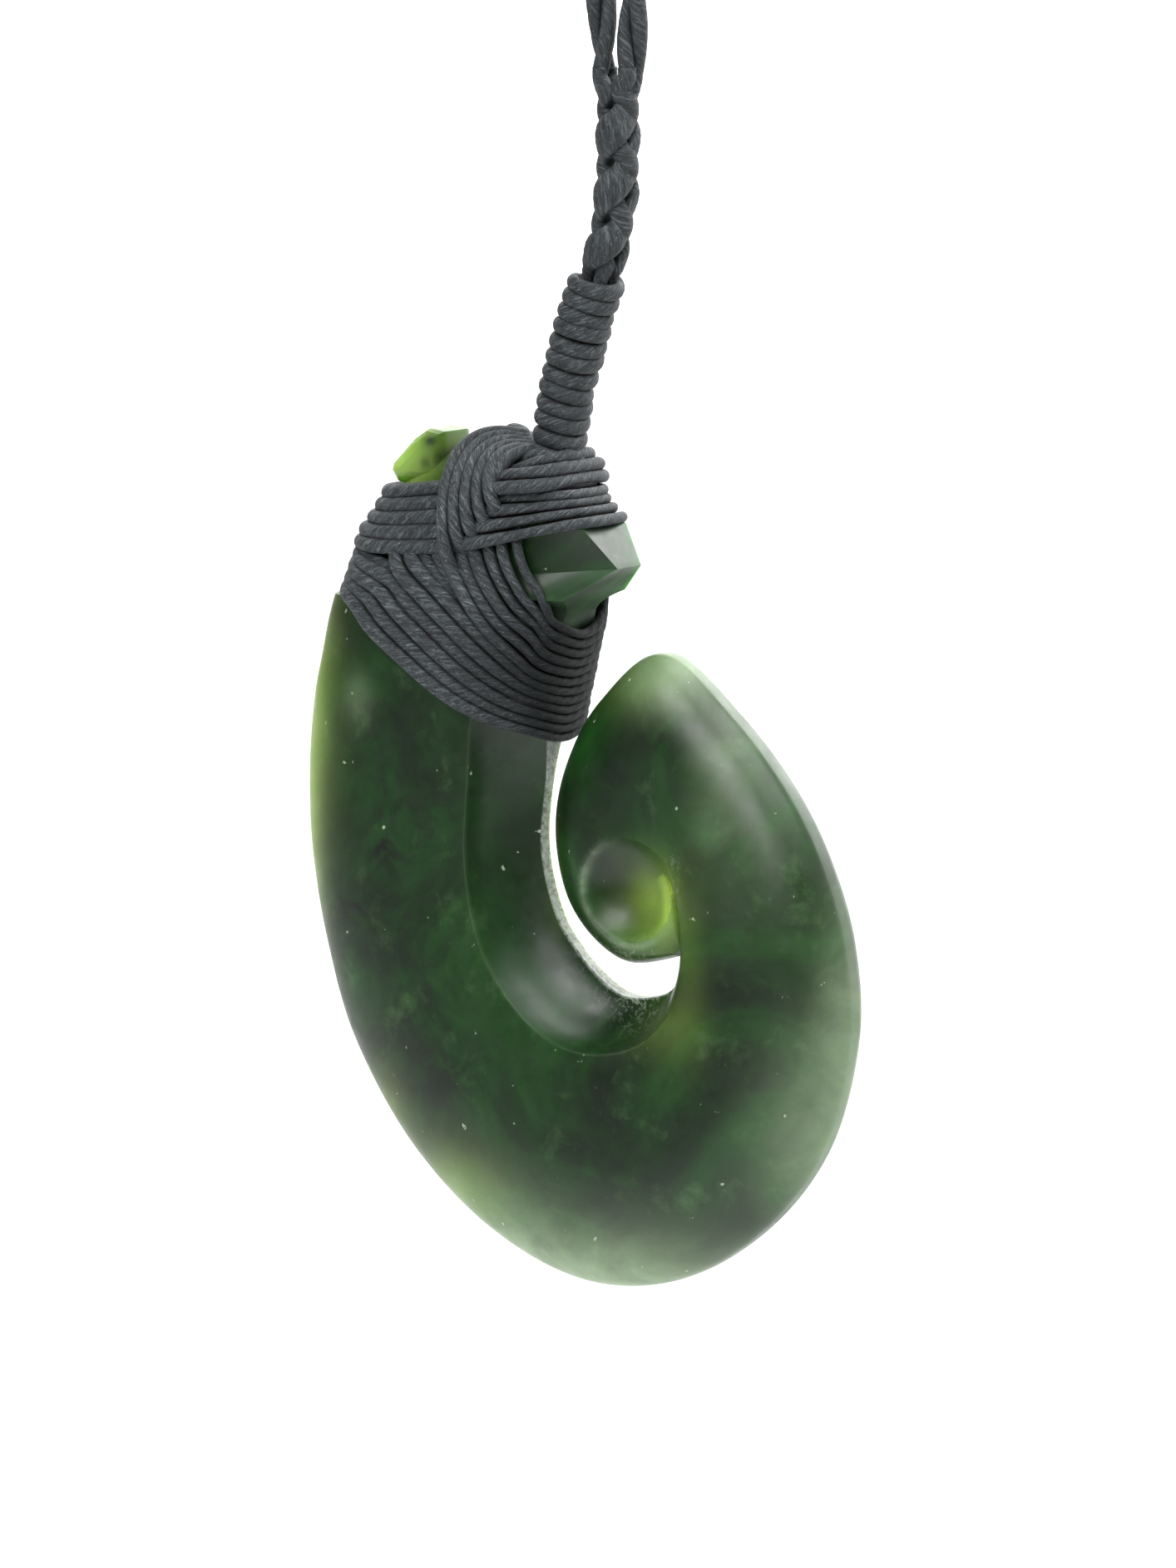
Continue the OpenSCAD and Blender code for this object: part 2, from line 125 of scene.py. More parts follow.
# Top and bottom edge of the neck lashing, as shares of HOOK_H, from left to right
NECK_BAND = np.array([[0.084, 0.157], [0.08, 0.158], [0.074, 0.156], [0.068, 0.151],
                      [0.064, 0.142], [0.064, 0.129], [0.068, 0.117]])
WHIP_FOOT = (0.459, 0.042)
# The strands' distance from the middle in the whipping, their place in x and y at the fork,
# the way over which they open at each end, and how far the whipping's lean goes on
STRAND_SEAT = 0.68
FORK = (1.0, 0.5)
OPEN_OUT = 0.9
OPEN_FORK = 1.0
LEAN_ON = 1.6
# Right half of the neck cord's way: shares of half LOOP_W outwards, and of LOOP_H
ROUTE = np.array([[0, -1], [0.004, -0.984], [0.018, -0.96], [0.053, -0.92], [0.12, -0.856],
                  [0.221, -0.78], [0.356, -0.688], [0.507, -0.592], [0.657, -0.496],
                  [0.792, -0.408], [0.914, -0.328], [0.983, -0.26], [1, -0.2],
                  [0.951, -0.14], [0.834, -0.084], [0.647, -0.04], [0.432, -0.012],
                  [0.216, 0.001], [0, 0.004]])

neck_r = NECK_CORD_D / 2
hang = np.array([0, 0, -LOOP_H - neck_r - STRAND_GAP])
stone_top = hang[2] - PLAIT_L - WHIP_L * math.cos(WHIP_LEAN) + WHIP_FOOT[1] * HOOK_H


def new_object(name, data):
    made = bpy.data.objects.new(name, data)
    bpy.context.scene.collection.objects.link(made)
    return made


# Camera, at the photograph's angle: it looks at the hook from its right, a little above

CAMERA_AZIMUTH = math.radians(32)
CAMERA_HEIGHT = math.radians(8)
CAMERA_AWAY = 420.0
CAMERA_AT = np.array([-2.2, 0, -23.3 + stone_top])
CAMERA_LENS = 150.7
CAMERA_CLIP = (0.02, 100)


def add_camera():
    across = math.cos(CAMERA_HEIGHT) * CAMERA_AWAY
    spot = CAMERA_AT + [math.sin(CAMERA_AZIMUTH) * across, -math.cos(CAMERA_AZIMUTH) * across,
                        math.sin(CAMERA_HEIGHT) * CAMERA_AWAY]
    data = bpy.data.cameras.new("camera")
    data.lens = CAMERA_LENS
    data.clip_start, data.clip_end = CAMERA_CLIP
    camera = new_object("camera", data)
    camera.location = spot * MM
    camera.rotation_euler = Vector(CAMERA_AT - spot).to_track_quat("-Z", "Y").to_euler()
    bpy.context.scene.camera = camera


# Tables and curves

FINE_STEPS = 40


def cubic(f, start, start_slope, end, end_slope):
    """Smooth way from start to end, at the share f of it, with the slope at each of them."""
    return ((2 * f ** 3 - 3 * f ** 2 + 1) * start + (f ** 3 - 2 * f ** 2 + f) * start_slope
            + (3 * f ** 2 - 2 * f ** 3) * end + (f ** 3 - f ** 2) * end_slope)


def row_slope(rows, i, sharp):
    if sharp[0] <= i <= sharp[1]:
        return 0 * rows[i]
    return (rows[min(i + 1, len(rows) - 1)] - rows[max(i - 1, 0)]) / 2


def between(rows, t, sharp=(-1, -2)):
    """A table read smoothly at t, counted in rows; level at its sharp rows, from first to last."""
    i = min(int(math.floor(t)), len(rows) - 2)
    return cubic(t - i, rows[i], row_slope(rows, i, sharp),
                 rows[i + 1], row_slope(rows, i + 1, sharp))


def smooth(f):
    """0 up to f = 0, 1 from f = 1 on, and a smooth step between them."""
    g = np.clip(f, 0, 1)
    return g * g * (3 - 2 * g)


def height_of(v):
    return stone_top - v * HOOK_H


def place(u, v):
    """Shares of the hook's width and height as x and z."""
    return np.array([(u - HANG) * HOOK_W, height_of(v)])


def unit(vectors):
    return vectors / np.linalg.norm(vectors, axis=1)[:, None]


def curve_through(points, step):
    """Even steps along a smooth curve through the given points."""
    p = np.array(points, float)
    slopes = (np.vstack([p[1:], p[-1:]]) - np.vstack([p[:1], p[:-1]])) / 2
    f = np.linspace(0, 1, FINE_STEPS, endpoint=False)[:, None]
    fine = [cubic(f, p[i], slopes[i], p[i + 1], slopes[i + 1]) for i in range(len(p) - 1)]
    return even_steps(np.vstack(fine + [p[-1:]]), step)


def even_steps(fine, step):
    """Points at even steps along a path. Columns after the first three go with the points."""
    run = np.concatenate([[0], np.cumsum(np.linalg.norm(np.diff(fine[:, :3], axis=0), axis=1))])
    at = np.linspace(0, run[-1], max(int(round(run[-1] / step)), 3) + 1)
    return np.column_stack([np.interp(at, run, fine[:, k]) for k in range(fine.shape[1])])


# Meshes

def skin_faces(rings, sides, start=0):
    """Faces round as many rings of points and over both ends."""
    faces = []
    for ring in range(start, start + (rings - 1) * sides, sides):
        for j in range(sides):
            k = (j + 1) % sides
            faces.append((ring + j, ring + k, ring + sides + k, ring + sides + j))
    last = start + (rings - 1) * sides
    return faces + [tuple(range(start, start + sides))[::-1], tuple(range(last, last + sides))]


def make_mesh(name, vertices, faces, uvs=None):
    """An object from points in millimetres; uvs has one pair for each corner of each face."""
    mesh = bpy.data.meshes.new(name)
    mesh.from_pydata([tuple(v) for v in np.asarray(vertices) * MM], [], [tuple(f) for f in faces])
    if uvs is not None:
        layer = mesh.uv_layers.new(name="cord")
        layer.data.foreach_set("uv", np.asarray(uvs, np.float32).ravel())
    mesh.shade_smooth()
    return new_object(name, mesh)


def add_piece(piece, slot, material, *nodes):
    piece.data.materials.clear()
    piece.data.materials.append(material)
    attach(piece, "root")
    if nodes:
        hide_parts(*nodes)


# The stone

ROW_STEPS = 12
STEPS_OUT = 22
STEPS_MID = 9
STEPS_IN = 15
LUG_BEVEL_STEPS = 3
LUG_CUTS = 7
BALL_SEGMENTS = 128
BALL_RINGS = 72
SHARP_ANGLE = math.radians(28)


def half_thick(r, s):
    """Half thickness of a section at the shares s of its width."""
    crown = r[THICK] * HOOK_T / 2
    ridge = crown * (1 - FALL)
    rim_out = r[RIM_OUT] * HOOK_T / 2
    rim_in = min(r[RIM_IN] * HOOK_T / 2, ridge)
    flank = rim_out + (crown - rim_out) * np.clip(1 - (1 - s / CROWN) ** 2, 0, 1) ** FLANK
    middle = crown - (crown - ridge) * ((s - CROWN) / (r[RIDGE] - CROWN)) ** 2
    w = np.clip((s - r[RIDGE]) / (1 - r[RIDGE]), 0, 1)
    bevel = rim_in + (ridge - rim_in) * np.clip(1 - w ** r[BEVEL], 0, 1) ** (1 / r[BEVEL])
    return np.where(s <= CROWN, flank, np.where(s <= r[RIDGE], middle, bevel))


def section(r):
    """Ring of points round a section: its front from OUT to IN, then its back."""
    s = np.concatenate([
        CROWN * (1 - np.cos(np.linspace(0, math.pi / 2, STEPS_OUT + 1))),
        CROWN + (r[RIDGE] - CROWN) * np.arange(1, STEPS_MID + 1) / STEPS_MID,
        r[RIDGE] + (1 - r[RIDGE]) * np.sin(np.linspace(0, math.pi / 2, STEPS_IN + 1))[1:]])
    a, b = place(r[OUT_X], r[OUT_Z]), place(r[IN_X], r[IN_Z])
    along = a + s[:, None] * (b - a)
    half = half_thick(r, s)
    front = np.column_stack([along[:, 0], -half, along[:, 1]])
    back = front[::-1] * [1, -1, 1]
    return np.vstack([front, back])


def object_of(mesh, name):
    """An object from a mesh that is being built."""
    data = bpy.data.meshes.new(name)
    mesh.to_mesh(data)
    mesh.free()
    return new_object(name, data)


def lug_block():
    """The upper left lug: a plate with bevelled edges, cut fine enough to be painted."""
    mesh = bmesh.new()
    corners = [place(u, v) for u, v in LUG]
    sides = [[mesh.verts.new(Vector((x, y, z)) * MM) for x, z in corners]
             for y in (-LUG_T / 2, LUG_T / 2)]
    mesh.faces.new(sides[0])
    mesh.faces.new(sides[1][::-1])
    n = len(corners)
    for i in range(n):
        j = (i + 1) % n
        mesh.faces.new((sides[0][j], sides[0][i], sides[1][i], sides[1][j]))
    bmesh.ops.recalc_face_normals(mesh, faces=mesh.faces)
    rims = [e for e in mesh.edges if abs(e.verts[0].co.y - e.verts[1].co.y) < 1e-9]
    bmesh.ops.bevel(mesh, geom=rims, offset=LUG_BEVEL * MM, segments=LUG_BEVEL_STEPS,
                    profile=0.5, affect="EDGES")
    bmesh.ops.triangulate(mesh, faces=mesh.faces)
    bmesh.ops.subdivide_edges(mesh, edges=mesh.edges, cuts=LUG_CUTS, use_grid_fill=True)
    return object_of(mesh, "lug")


def dish_ball(side):
    """The ball that hollows the dish out, on the front for -1 and on the back for 1."""
    deep = DISH_RIM * HOOK_T - DISH_FLOOR / 2
    radius = (DISH_D * DISH_D / 4 + deep * deep) / (2 * deep)
    x, z = place(*DISH)
    mesh = bmesh.new()
    bmesh.ops.create_uvsphere(mesh, u_segments=BALL_SEGMENTS, v_segments=BALL_RINGS,
                              radius=radius * MM)
    bmesh.ops.translate(mesh, verts=mesh.verts,
                        vec=Vector((x, side * (DISH_FLOOR / 2 + radius), z)) * MM)
    return object_of(mesh, "ball")


def combine(piece, other, operation):
    """Joins other to piece or cuts it out of it, and deletes it."""
    cut = piece.modifiers.new("cut", "BOOLEAN")
    cut.object = other
    cut.operation = operation
    cut.solver = "EXACT"
    bpy.context.view_layer.update()
    evaluated = piece.evaluated_get(bpy.context.evaluated_depsgraph_get())
    done = bpy.data.meshes.new_from_object(evaluated)
    piece.modifiers.clear()
    piece.data = done
    bpy.data.objects.remove(other)


def stone_rings():
    last = len(SECTIONS) - 1
    return [section(between(SECTIONS, min(t, last), LUG_ROWS))
            for t in np.arange(last * ROW_STEPS + 1) / ROW_STEPS]


def make_stone():
    rings = stone_rings()
    stone = make_mesh("hook_stone", np.vstack(rings), skin_faces(len(rings), len(rings[0])))
    combine(stone, lug_block(), "UNION")
    for side in (-1, 1):
        combine(stone, dish_ball(side), "DIFFERENCE")
    stone.data.shade_smooth()
    stone.data.set_sharp_from_angle(angle=SHARP_ANGLE)
    return stone


def tree_of(piece):
    """Search tree of a mesh, in millimetres."""
    points = [v.co / MM for v in piece.data.vertices]
    return BVHTree.FromPolygons(points, [tuple(p.vertices) for p in piece.data.polygons])


# The stone's paint. Each row is a soft spot: its middle and its reach in shares of HOOK_W and
# HOOK_H, and its strength.

# Where light comes through: a painted glow, lighter yellow-green in the colour, with more subsurface
# there
GLOW = [(0, 0.32, 0.07, 0.17, 1), (0.02, 0.5, 0.035, 0.14, 0.6), (0.19, 0.045, 0.07, 0.06, 1),
        (0.69, 0.545, 0.035, 0.045, 0.6), (0.64, 0.55, 0.05, 0.05, 0.3),
        (0.62, 0.29, 0.09, 0.035, 0.12), (0.47, 0.52, 0.02, 0.06, 0.2),
        (0.75, 0.6, 0.03, 0.09, 0.12), (0.71, 0.68, 0.06, 0.035, 0.18), (0.3, 0.9, 0.1, 0.05, 0.35),
        (0.17, 0.82, 0.05, 0.05, 0.3)]
# Where the stone is pale
PALE = [(0.52, 1.01, 0.3, 0.072, 1), (0.2, 0.05, 0.03, 0.03, 0.5), (0.96, 0.84, 0.08, 0.13, 0.5),
        (0.25, 0.94, 0.16, 0.06, 0.6), (1, 0.68, 0.04, 0.16, 0.5), (0.79, 0.38, 0.05, 0.09, 0.25),
        (0.68, 0.28, 0.07, 0.04, 0.6), (0.86, 0.47, 0.08, 0.1, 0.12), (0.15, 0.33, 0.03, 0.03, 0.25)]
# Where it has dark inclusions
DARK = [(0.08, 0.235, 0.05, 0.025, 0.9), (0.16, 0.36, 0.045, 0.03, 0.7),
        (0.22, 0.43, 0.05, 0.04, 0.7), (0.2, 0.5, 0.04, 0.03, 0.8), (0.13, 0.57, 0.04, 0.03, 0.8),
        (0.1, 0.65, 0.03, 0.025, 0.6), (0.3, 0.77, 0.09, 0.05, 0.7),
        (0.675, 0.345, 0.05, 0.025, 0.9), (0.6, 0.41, 0.03, 0.04, 0.8),
        (0.86, 0.71, 0.03, 0.03, 0.7), (0.24, 0.62, 0.12, 0.12, 0.5), (0.6, 0.85, 0.1, 0.06, 0.45),
        (0.8, 0.62, 0.07, 0.05, 0.6), (0.255, 0.03, 0.022, 0.012, 1),
        (0.275, 0.055, 0.02, 0.015, 0.9), (0.03, 0.23, 0.04, 0.02, 0.8)]
# Where it is painted darker: painted shade in the hollows along the gap and in the dish, and dark
# specks on the left lug
SHADE_AND_SPECKS = [(0.41, 0.36, 0.05, 0.08, 0.45), (0.4, 0.46, 0.05, 0.08, 0.6), (0.43, 0.55, 0.05, 0.06, 0.6),
        (0.258, 0.029, 0.01, 0.006, 1), (0.272, 0.048, 0.01, 0.01, 0.8),
        (0.25, 0.055, 0.008, 0.006, 0.7), (0.51, 0.62, 0.06, 0.04, 0.6),
        (0.6, 0.65, 0.05, 0.03, 0.5), (0.57, 0.47, 0.05, 0.05, 0.4), (0.59, 0.53, 0.03, 0.04, 0.4)]
# Where it is not polished, on the right lug
MATTE = [(0.575, 0.19, 0.05, 0.02, 1), (0.52, 0.215, 0.03, 0.02, 1)]
# Tool marks in the foot of the scoop
MARKS = [(0.62, 0.64, 0.05, 0.035, 1), (0.54, 0.61, 0.03, 0.02, 0.8), (0.71, 0.52, 0.012, 0.03, 0.5)]
# The stone shows as thin below this thickness, measured from just below its surface
THIN_SHOWS = 5.0
RAY_START = 0.02
# Rows between which the crest of the inner bevel gets a painted highlight, and those where its wall
# gets a painted reflection
CREST_ROWS = (6, 16)
REFLECTING_ROWS = (8, 16)
CREST_REACH = 0.02
REFLECTING_REACH = 0.12
# The painted highlight on the dish's rim reaches this far to each side, on its left and by this share
# of that on its foot
RIM_HIGHLIGHT_REACH = 0.25
RIM_HIGHLIGHT_TILT = 0.8


def patches(table, u, v):
    """The spots of a table at the shares u and v, 1 at most."""
    total = np.zeros(len(u))
    for u0, v0, reach_u, reach_v, strength in table:
        total += strength * np.exp(-((u - u0) / reach_u) ** 2 - ((v - v0) / reach_v) ** 2)
    return np.clip(total, 0, 1)


def rings_between(rows):
    return stone_rings()[rows[0] * ROW_STEPS:rows[1] * ROW_STEPS]


def near_points(co, marked, reach):
    """1 for each point that lies within reach of a marked one, 0 for the others."""
    tree = KDTree(len(marked))
    for i, point in enumerate(marked):
        tree.insert(point, i)
    tree.balance()
    return np.array([1.0 if tree.find(point)[2] < reach else 0.0 for point in co])


def on_crest(co):
    """1 on the crest of the inner bevel, front and back, where a highlight is painted, 0 away from it.
    """
    crest = STEPS_OUT + STEPS_MID
    rings = rings_between(CREST_ROWS)
    return near_points(co, [ring[k] for ring in rings for k in (crest, -1 - crest)], CREST_REACH)


def on_reflecting_wall(co):
    """1 on the narrow wall along the gap, where a light grey reflection is painted."""
    inner = STEPS_OUT + STEPS_MID + STEPS_IN
    wall = [ring[inner] * [1, 0, 1] for ring in rings_between(REFLECTING_ROWS)]
    return near_points(co * [1, 0, 1], wall, REFLECTING_REACH)


def dish_rim_highlight(co):
    """1 on the rounded rim of the dish, on its left and its foot, where a highlight is painted, 0 away
    from it.
    """
    x, z = place(*DISH)
    from_middle = co[:, [0, 2]] - [x, z]
    away = np.linalg.norm(from_middle, axis=1)
    side = smooth(0.5 - (from_middle[:, 0] + RIM_HIGHLIGHT_TILT * from_middle[:, 1]) / DISH_D)
    return side * np.exp(-((away - DISH_D / 2) / RIM_HIGHLIGHT_REACH) ** 2)


def paint_stone(stone, tree):
    """Point attributes that the stone's material mixes its colours by."""
    mesh = stone.data
    n = len(mesh.vertices)
    co = np.zeros(n * 3, np.float32)
    mesh.vertices.foreach_get("co", co)
    co = co.reshape(-1, 3) / MM
    thick = np.zeros(n, np.float32)
    for i, vertex in enumerate(mesh.vertices):
        inward = -vertex.normal
        hit = tree.ray_cast(Vector(co[i]) + inward * RAY_START, inward)
        thick[i] = hit[3] if hit[0] is not None else HOOK_T
    u = co[:, 0] / HOOK_W + HANG
    v = (stone_top - co[:, 2]) / HOOK_H
    layers = {"thin": 1 - smooth(thick / THIN_SHOWS), "edge": on_crest(co),
              "wall_reflection": on_reflecting_wall(co), "ring": dish_rim_highlight(co)}
    for name, table in (("glow", GLOW), ("pale", PALE), ("dark", DARK), ("deep", SHADE_AND_SPECKS),
                        ("marks", MARKS), ("matte", MATTE)):
        layers[name] = patches(table, u, v)
    for name, values in layers.items():
        layer = mesh.attributes.new(name, "FLOAT", "POINT")
        layer.data.foreach_set("value", values.astype(np.float32))


# Cords

CORD_STEP = 0.2
CORD_SIDES = 14
# A cord's surface varies over this length by this share, and by this one at random
UNEVEN = (1.6, 0.025)
GRAIN = 0.012
# Each cord's fibres start somewhere in this many millimetres
FIBRE_START = 50


def frames_of(path, outward):
    """Directions across a path: along its outward side and along the surface it lies on."""
    tangent = unit(np.gradient(path, axis=0))
    up = unit(outward - (outward * tangent).sum(1)[:, None] * tangent)
    return up, np.cross(tangent, up)


def wander(count, step, longest, amount):
    """A slow random change along a cord."""
    knots = rng.normal(0, 1, max(int(count * step / longest), 2) + 4)
    at = np.linspace(0, len(knots) - 3, count)
    i = at.astype(int)
    f = smooth(at - i)
    return amount * ((1 - f) * knots[i] + f * knots[i + 1])


def cord_mesh(name, cords, sides):
    """One mesh of several cords. Each is (path, outward, half width, half thickness)."""
    vertices, faces, uvs = [], [], []
    start = 0
    angle = np.arange(sides) * 2 * math.pi / sides
    for path, outward, half_w, half_t in cords:
        n = len(path)
        up, side = frames_of(path, outward)
        step = np.linalg.norm(np.diff(path, axis=0), axis=1).mean()
        rough = 1 + wander(n, step, *UNEVEN)[:, None] + rng.normal(0, GRAIN, (n, sides))
        rise = (np.cos(angle) * np.reshape(half_t, (-1, 1)) * rough)[:, :, None]
        turn = (np.sin(angle) * np.reshape(half_w, (-1, 1)) * rough)[:, :, None]
        skin = path[:, None, :] + rise * up[:, None, :] + turn * side[:, None, :]
        vertices.append(skin.reshape(-1, 3))
        run = np.arange(n + 1) * step + rng.uniform(0, FIBRE_START)
        faces += skin_faces(n, sides, start)
        for a, b in zip(run[:n - 1], run[1:]):
            for k in range(sides):
                low, high = k / sides, (k + 1) / sides
                uvs += [(a, low), (a, high), (b, high), (b, low)]
        uvs += [(run[0], 0)] * sides + [(run[-1], 0)] * sides
        start += n * sides
    return make_mesh(name, np.vstack(vertices), faces, uvs)


def add_cords(name, cords, material, *nodes, sides=CORD_SIDES):
    add_piece(cord_mesh(name, cords, sides), "waxed_cord", material, *nodes)


# The head's edges and half thickness, as the lashings follow them

shank_rows = np.array([between(SECTIONS, i / 3, LUG_ROWS) for i in range(SHANK_LAST * 3 + 1)])


def at_height(z, shares, values):
    """A column of the shank's rows at height z, where shares are the rows' shares of HOOK_H."""
    heights = height_of(shares)
    order = np.argsort(heights)
    return np.interp(z, heights[order], values[order])


def left_edge(z):
    return at_height(z, shank_rows[:, OUT_Z], (shank_rows[:, OUT_X] - HANG) * HOOK_W)


def right_edge(z):
    return at_height(z, shank_rows[:, IN_Z], (shank_rows[:, IN_X] - HANG) * HOOK_W)


def head_half(z):
    middle = shank_rows[:, OUT_Z] + CROWN * (shank_rows[:, IN_Z] - shank_rows[:, OUT_Z])
    return at_height(z, middle, shank_rows[:, THICK] * HOOK_T / 2)


# Roundness of the cords' way round the head, at its left and right edge: 2 is an ellipse
WRAP_LEFT = 3.0
WRAP_RIGHT = 3.7


def angle_of(q):
    """Angle round the head, from -180 at its left edge over the front to 0 at its right."""
    n = WRAP_LEFT if q < 0 else WRAP_RIGHT
    c = min(abs(q), 1)
    a = 90.0 if c < 1e-6 else math.degrees(math.atan(max(c ** -n - 1, 0) ** (1 / n)))
    return -a if q >= 0 else a - 180


def across_of(a):
    """Share across the head, and share of its half thickness, at an angle round it."""
    c, s = math.cos(math.radians(a)), math.sin(math.radians(a))
    n = WRAP_LEFT if c < 0 else WRAP_RIGHT
    size = (abs(c) ** n + abs(s) ** n) ** (1 / n)
    return c / size, s / size


PUSH_ROUNDS = 3
SMOOTHINGS = 8


def even_out(points):
    """Smooths a row of points, whose ends stay."""
    for _ in range(SMOOTHINGS):
        points[1:-1] = (points[:-2] + 2 * points[1:-1] + points[2:]) / 4


def push_out(path, tree, gaps):
    """Moves the points of a path that lie nearer to the stone than their gap out of it."""
    p = path.copy()
    for _ in range(PUSH_ROUNDS):
        for i, gap in enumerate(gaps):
            near, normal, _face, _away = tree.find_nearest(Vector(p[i]))
            normal = np.array(normal)
            above = (p[i] - np.array(near)) @ normal
            if above < gap:
                p[i] = p[i] + (gap - above) * normal
        even_out(p)
    return p


def outward_of(path, tree):
    """Directions from the stone to the points of a path."""
    out = np.array([p - np.array(tree.find_nearest(Vector(p))[0]) for p in path])
    out /= np.maximum(np.linalg.norm(out, axis=1), 1e-6)[:, None]
    even_out(out)
    return out


# Half width and half thickness of a lashed cord
CORD_W = 0.52
CORD_T = 0.44


# Neck lashing: turns of one cord, which step down to the next lane at the back

# A step starts this share of a turn before the middle of the back, and goes over this share
NECK_START = 0.1
NECK_STEP_DOWN = 0.2
NECK_POINTS = 90
NECK_LIFT = 0.56
NECK_OUT = 0.25
# The cord rises over the saddle's feet: how high, over which way before a foot, until how far
# past it, and over which way it sinks
SADDLE_LIFT = 0.5
RISE_BEFORE = 0.6
RISE_AFTER = 0.8
RISE_SINKS = 5.0


def neck_path():
    """The cord's way round the neck. It rises over the saddle's feet on its right side."""
    points = []
    for phi in np.linspace(0, 360 * NECK_TURNS, NECK_POINTS * NECK_TURNS + 1):
        g = phi / 360 + NECK_START
        step = smooth((g - math.floor(g)) / NECK_STEP_DOWN)
        lane = np.clip(math.floor(g) - 1 + step, 0, NECK_TURNS - 1)
        p = (lane + 0.5) / NECK_TURNS
        q, depth = across_of(90 + phi)
        edges = between(NECK_BAND, (1 + q) / 2 * (len(NECK_BAND) - 1))
        share = edges[0] + p * (edges[1] - edges[0])
        left = NECK_BAND[0, 0] + p * (NECK_BAND[0, 1] - NECK_BAND[0, 0])
        right = NECK_BAND[-1, 0] + p * (NECK_BAND[-1, 1] - NECK_BAND[-1, 0])
        z = height_of(share)
        x0 = left_edge(height_of(left)) - NECK_LIFT
        x1 = right_edge(height_of(right)) + NECK_LIFT + NECK_OUT
        x = (x0 + x1) / 2 + (x1 - x0) / 2 * q
        past = x - saddle_foot(NECK_TURNS - lane)[0]
        rise = (SADDLE_LIFT * smooth((past + RISE_BEFORE) / RISE_BEFORE)
                * (1 - smooth((past - RISE_AFTER) / RISE_SINKS)))
        points.append([x, (head_half(z) + NECK_LIFT + rise) * depth, z])
    return even_steps(np.array(points), CORD_STEP)


# The saddle's first and last cord, from foot to crest. Each row is x from the hang line, y
# and z from the stone's top. The others lie between them, and the back is the same.
SADDLE_LEFT = np.array([
    [-9.4, -5.6, -8.4], [-9.6, -5.6, -6.9], [-9.8, -5.1, -4.9], [-10.0, -4.2, -3.4],
    [-10.0, -3.1, -2.2], [-9.6, -2.1, -1.3], [-8.8, -1.3, -0.9], [-7.7, -0.6, -0.9],
    [-6.7, 0, -1.2]])
SADDLE_RIGHT = np.array([
    [-6.2, -4.9, -5.3], [-6.4, -5.1, -4.4], [-6.8, -4.6, -3.5], [-6.85, -4.1, -2.8],
    [-6.85, -3.4, -2.2], [-6.7, -2.6, -1.9], [-6.5, -1.8, -1.8], [-6.4, -0.9, -1.9],
    [-6.3, 0, -2.0]])
# From a foot to the cord's end under the slanting turns
SADDLE_DIVE = [0.1, 1.5, -0.8]
# Where the first cord goes on instead, into a slanting turn
SADDLE_TO_SLANT = np.array([[-8.9, -4.3, -10.6], [-9.2, -4.85, -9.6]])


def saddle_foot(j):
    """Foot of the saddle's cord j, counted from the left; j may lie between two cords."""
    f = j / (SADDLE_TURNS - 1)
    return SADDLE_LEFT[0] + f * (SADDLE_RIGHT[0] - SADDLE_LEFT[0])


def saddle_paths():
    paths = []
    for j in range(SADDLE_TURNS):
        f = j / (SADDLE_TURNS - 1)
        front = SADDLE_LEFT + f * (SADDLE_RIGHT - SADDLE_LEFT) + [0, 0, stone_top]
        dive = SADDLE_TO_SLANT + [0, 0, stone_top] if j == 0 else [front[0] + SADDLE_DIVE]
        front = np.vstack([dive, front])
        back = front[-2::-1] * [1, -1, 1]
        paths.append(curve_through(np.vstack([front, back]), CORD_STEP))
    return paths


# Slanting turns that were traced: the middle line over the front, as shares of the hook. Each
# then turns the corner at CORNER across the shank. The others lie between them.
SLANT_TRACED = {
    0: [[0.141, 0.214], [0.176, 0.238], [0.24, 0.272], [0.318, 0.31], [0.383, 0.333],
        [0.44, 0.348]],
    5: [[0.262, 0.165], [0.305, 0.189], [0.353, 0.22], [0.395, 0.248], [0.438, 0.276],
        [0.48, 0.3]],
    6: [[0.331, 0.158], [0.352, 0.185], [0.378, 0.214], [0.412, 0.244], [0.452, 0.27],
        [0.492, 0.29]],
    11: [[0.452, 0.15], [0.46, 0.166], [0.474, 0.184], [0.492, 0.202], [0.515, 0.217],
         [0.54, 0.226]]}
# Turns that lie under the others, and how much lower they lie
SLANT_UNDER = (2.5, 3.5, 4.5, 5.3, 5.7, 6.5, 7.5, 8.5, 9.5)
UNDER_DROP = 0.5
CORNER = 0.93
# Height share at the right edge of the first and the last turn
EDGE_V = (0.368, 0.247)
# The first turns go right round the shank, this far apart at its left edge. The others come
# out from under the neck lashing.
SLANT_ROUND = 4
LEFT_V = 0.192
LEFT_PITCH = 0.0145
SLANT_LIFT = 0.55
SLANT_TUCK = np.array([-0.012, -0.024])
TUCK_LIFT = (-0.6, 0.1)
# Share by which each lashing's cords are narrower, at the left and at the right
SLANT_SQUEEZE = (0.0, 0.42)
NECK_SQUEEZE = (0.0, 0.34)
SADDLE_SQUEEZE = (0.16, 0.16)


def slant_line(i):
    """Middle line of turn i over the front, between the traced turns."""
    lines = np.array(list(SLANT_TRACED.values()))
    return np.array([[np.interp(i, list(SLANT_TRACED), lines[:, r, c]) for c in (0, 1)]
                     for r in range(lines.shape[1])])


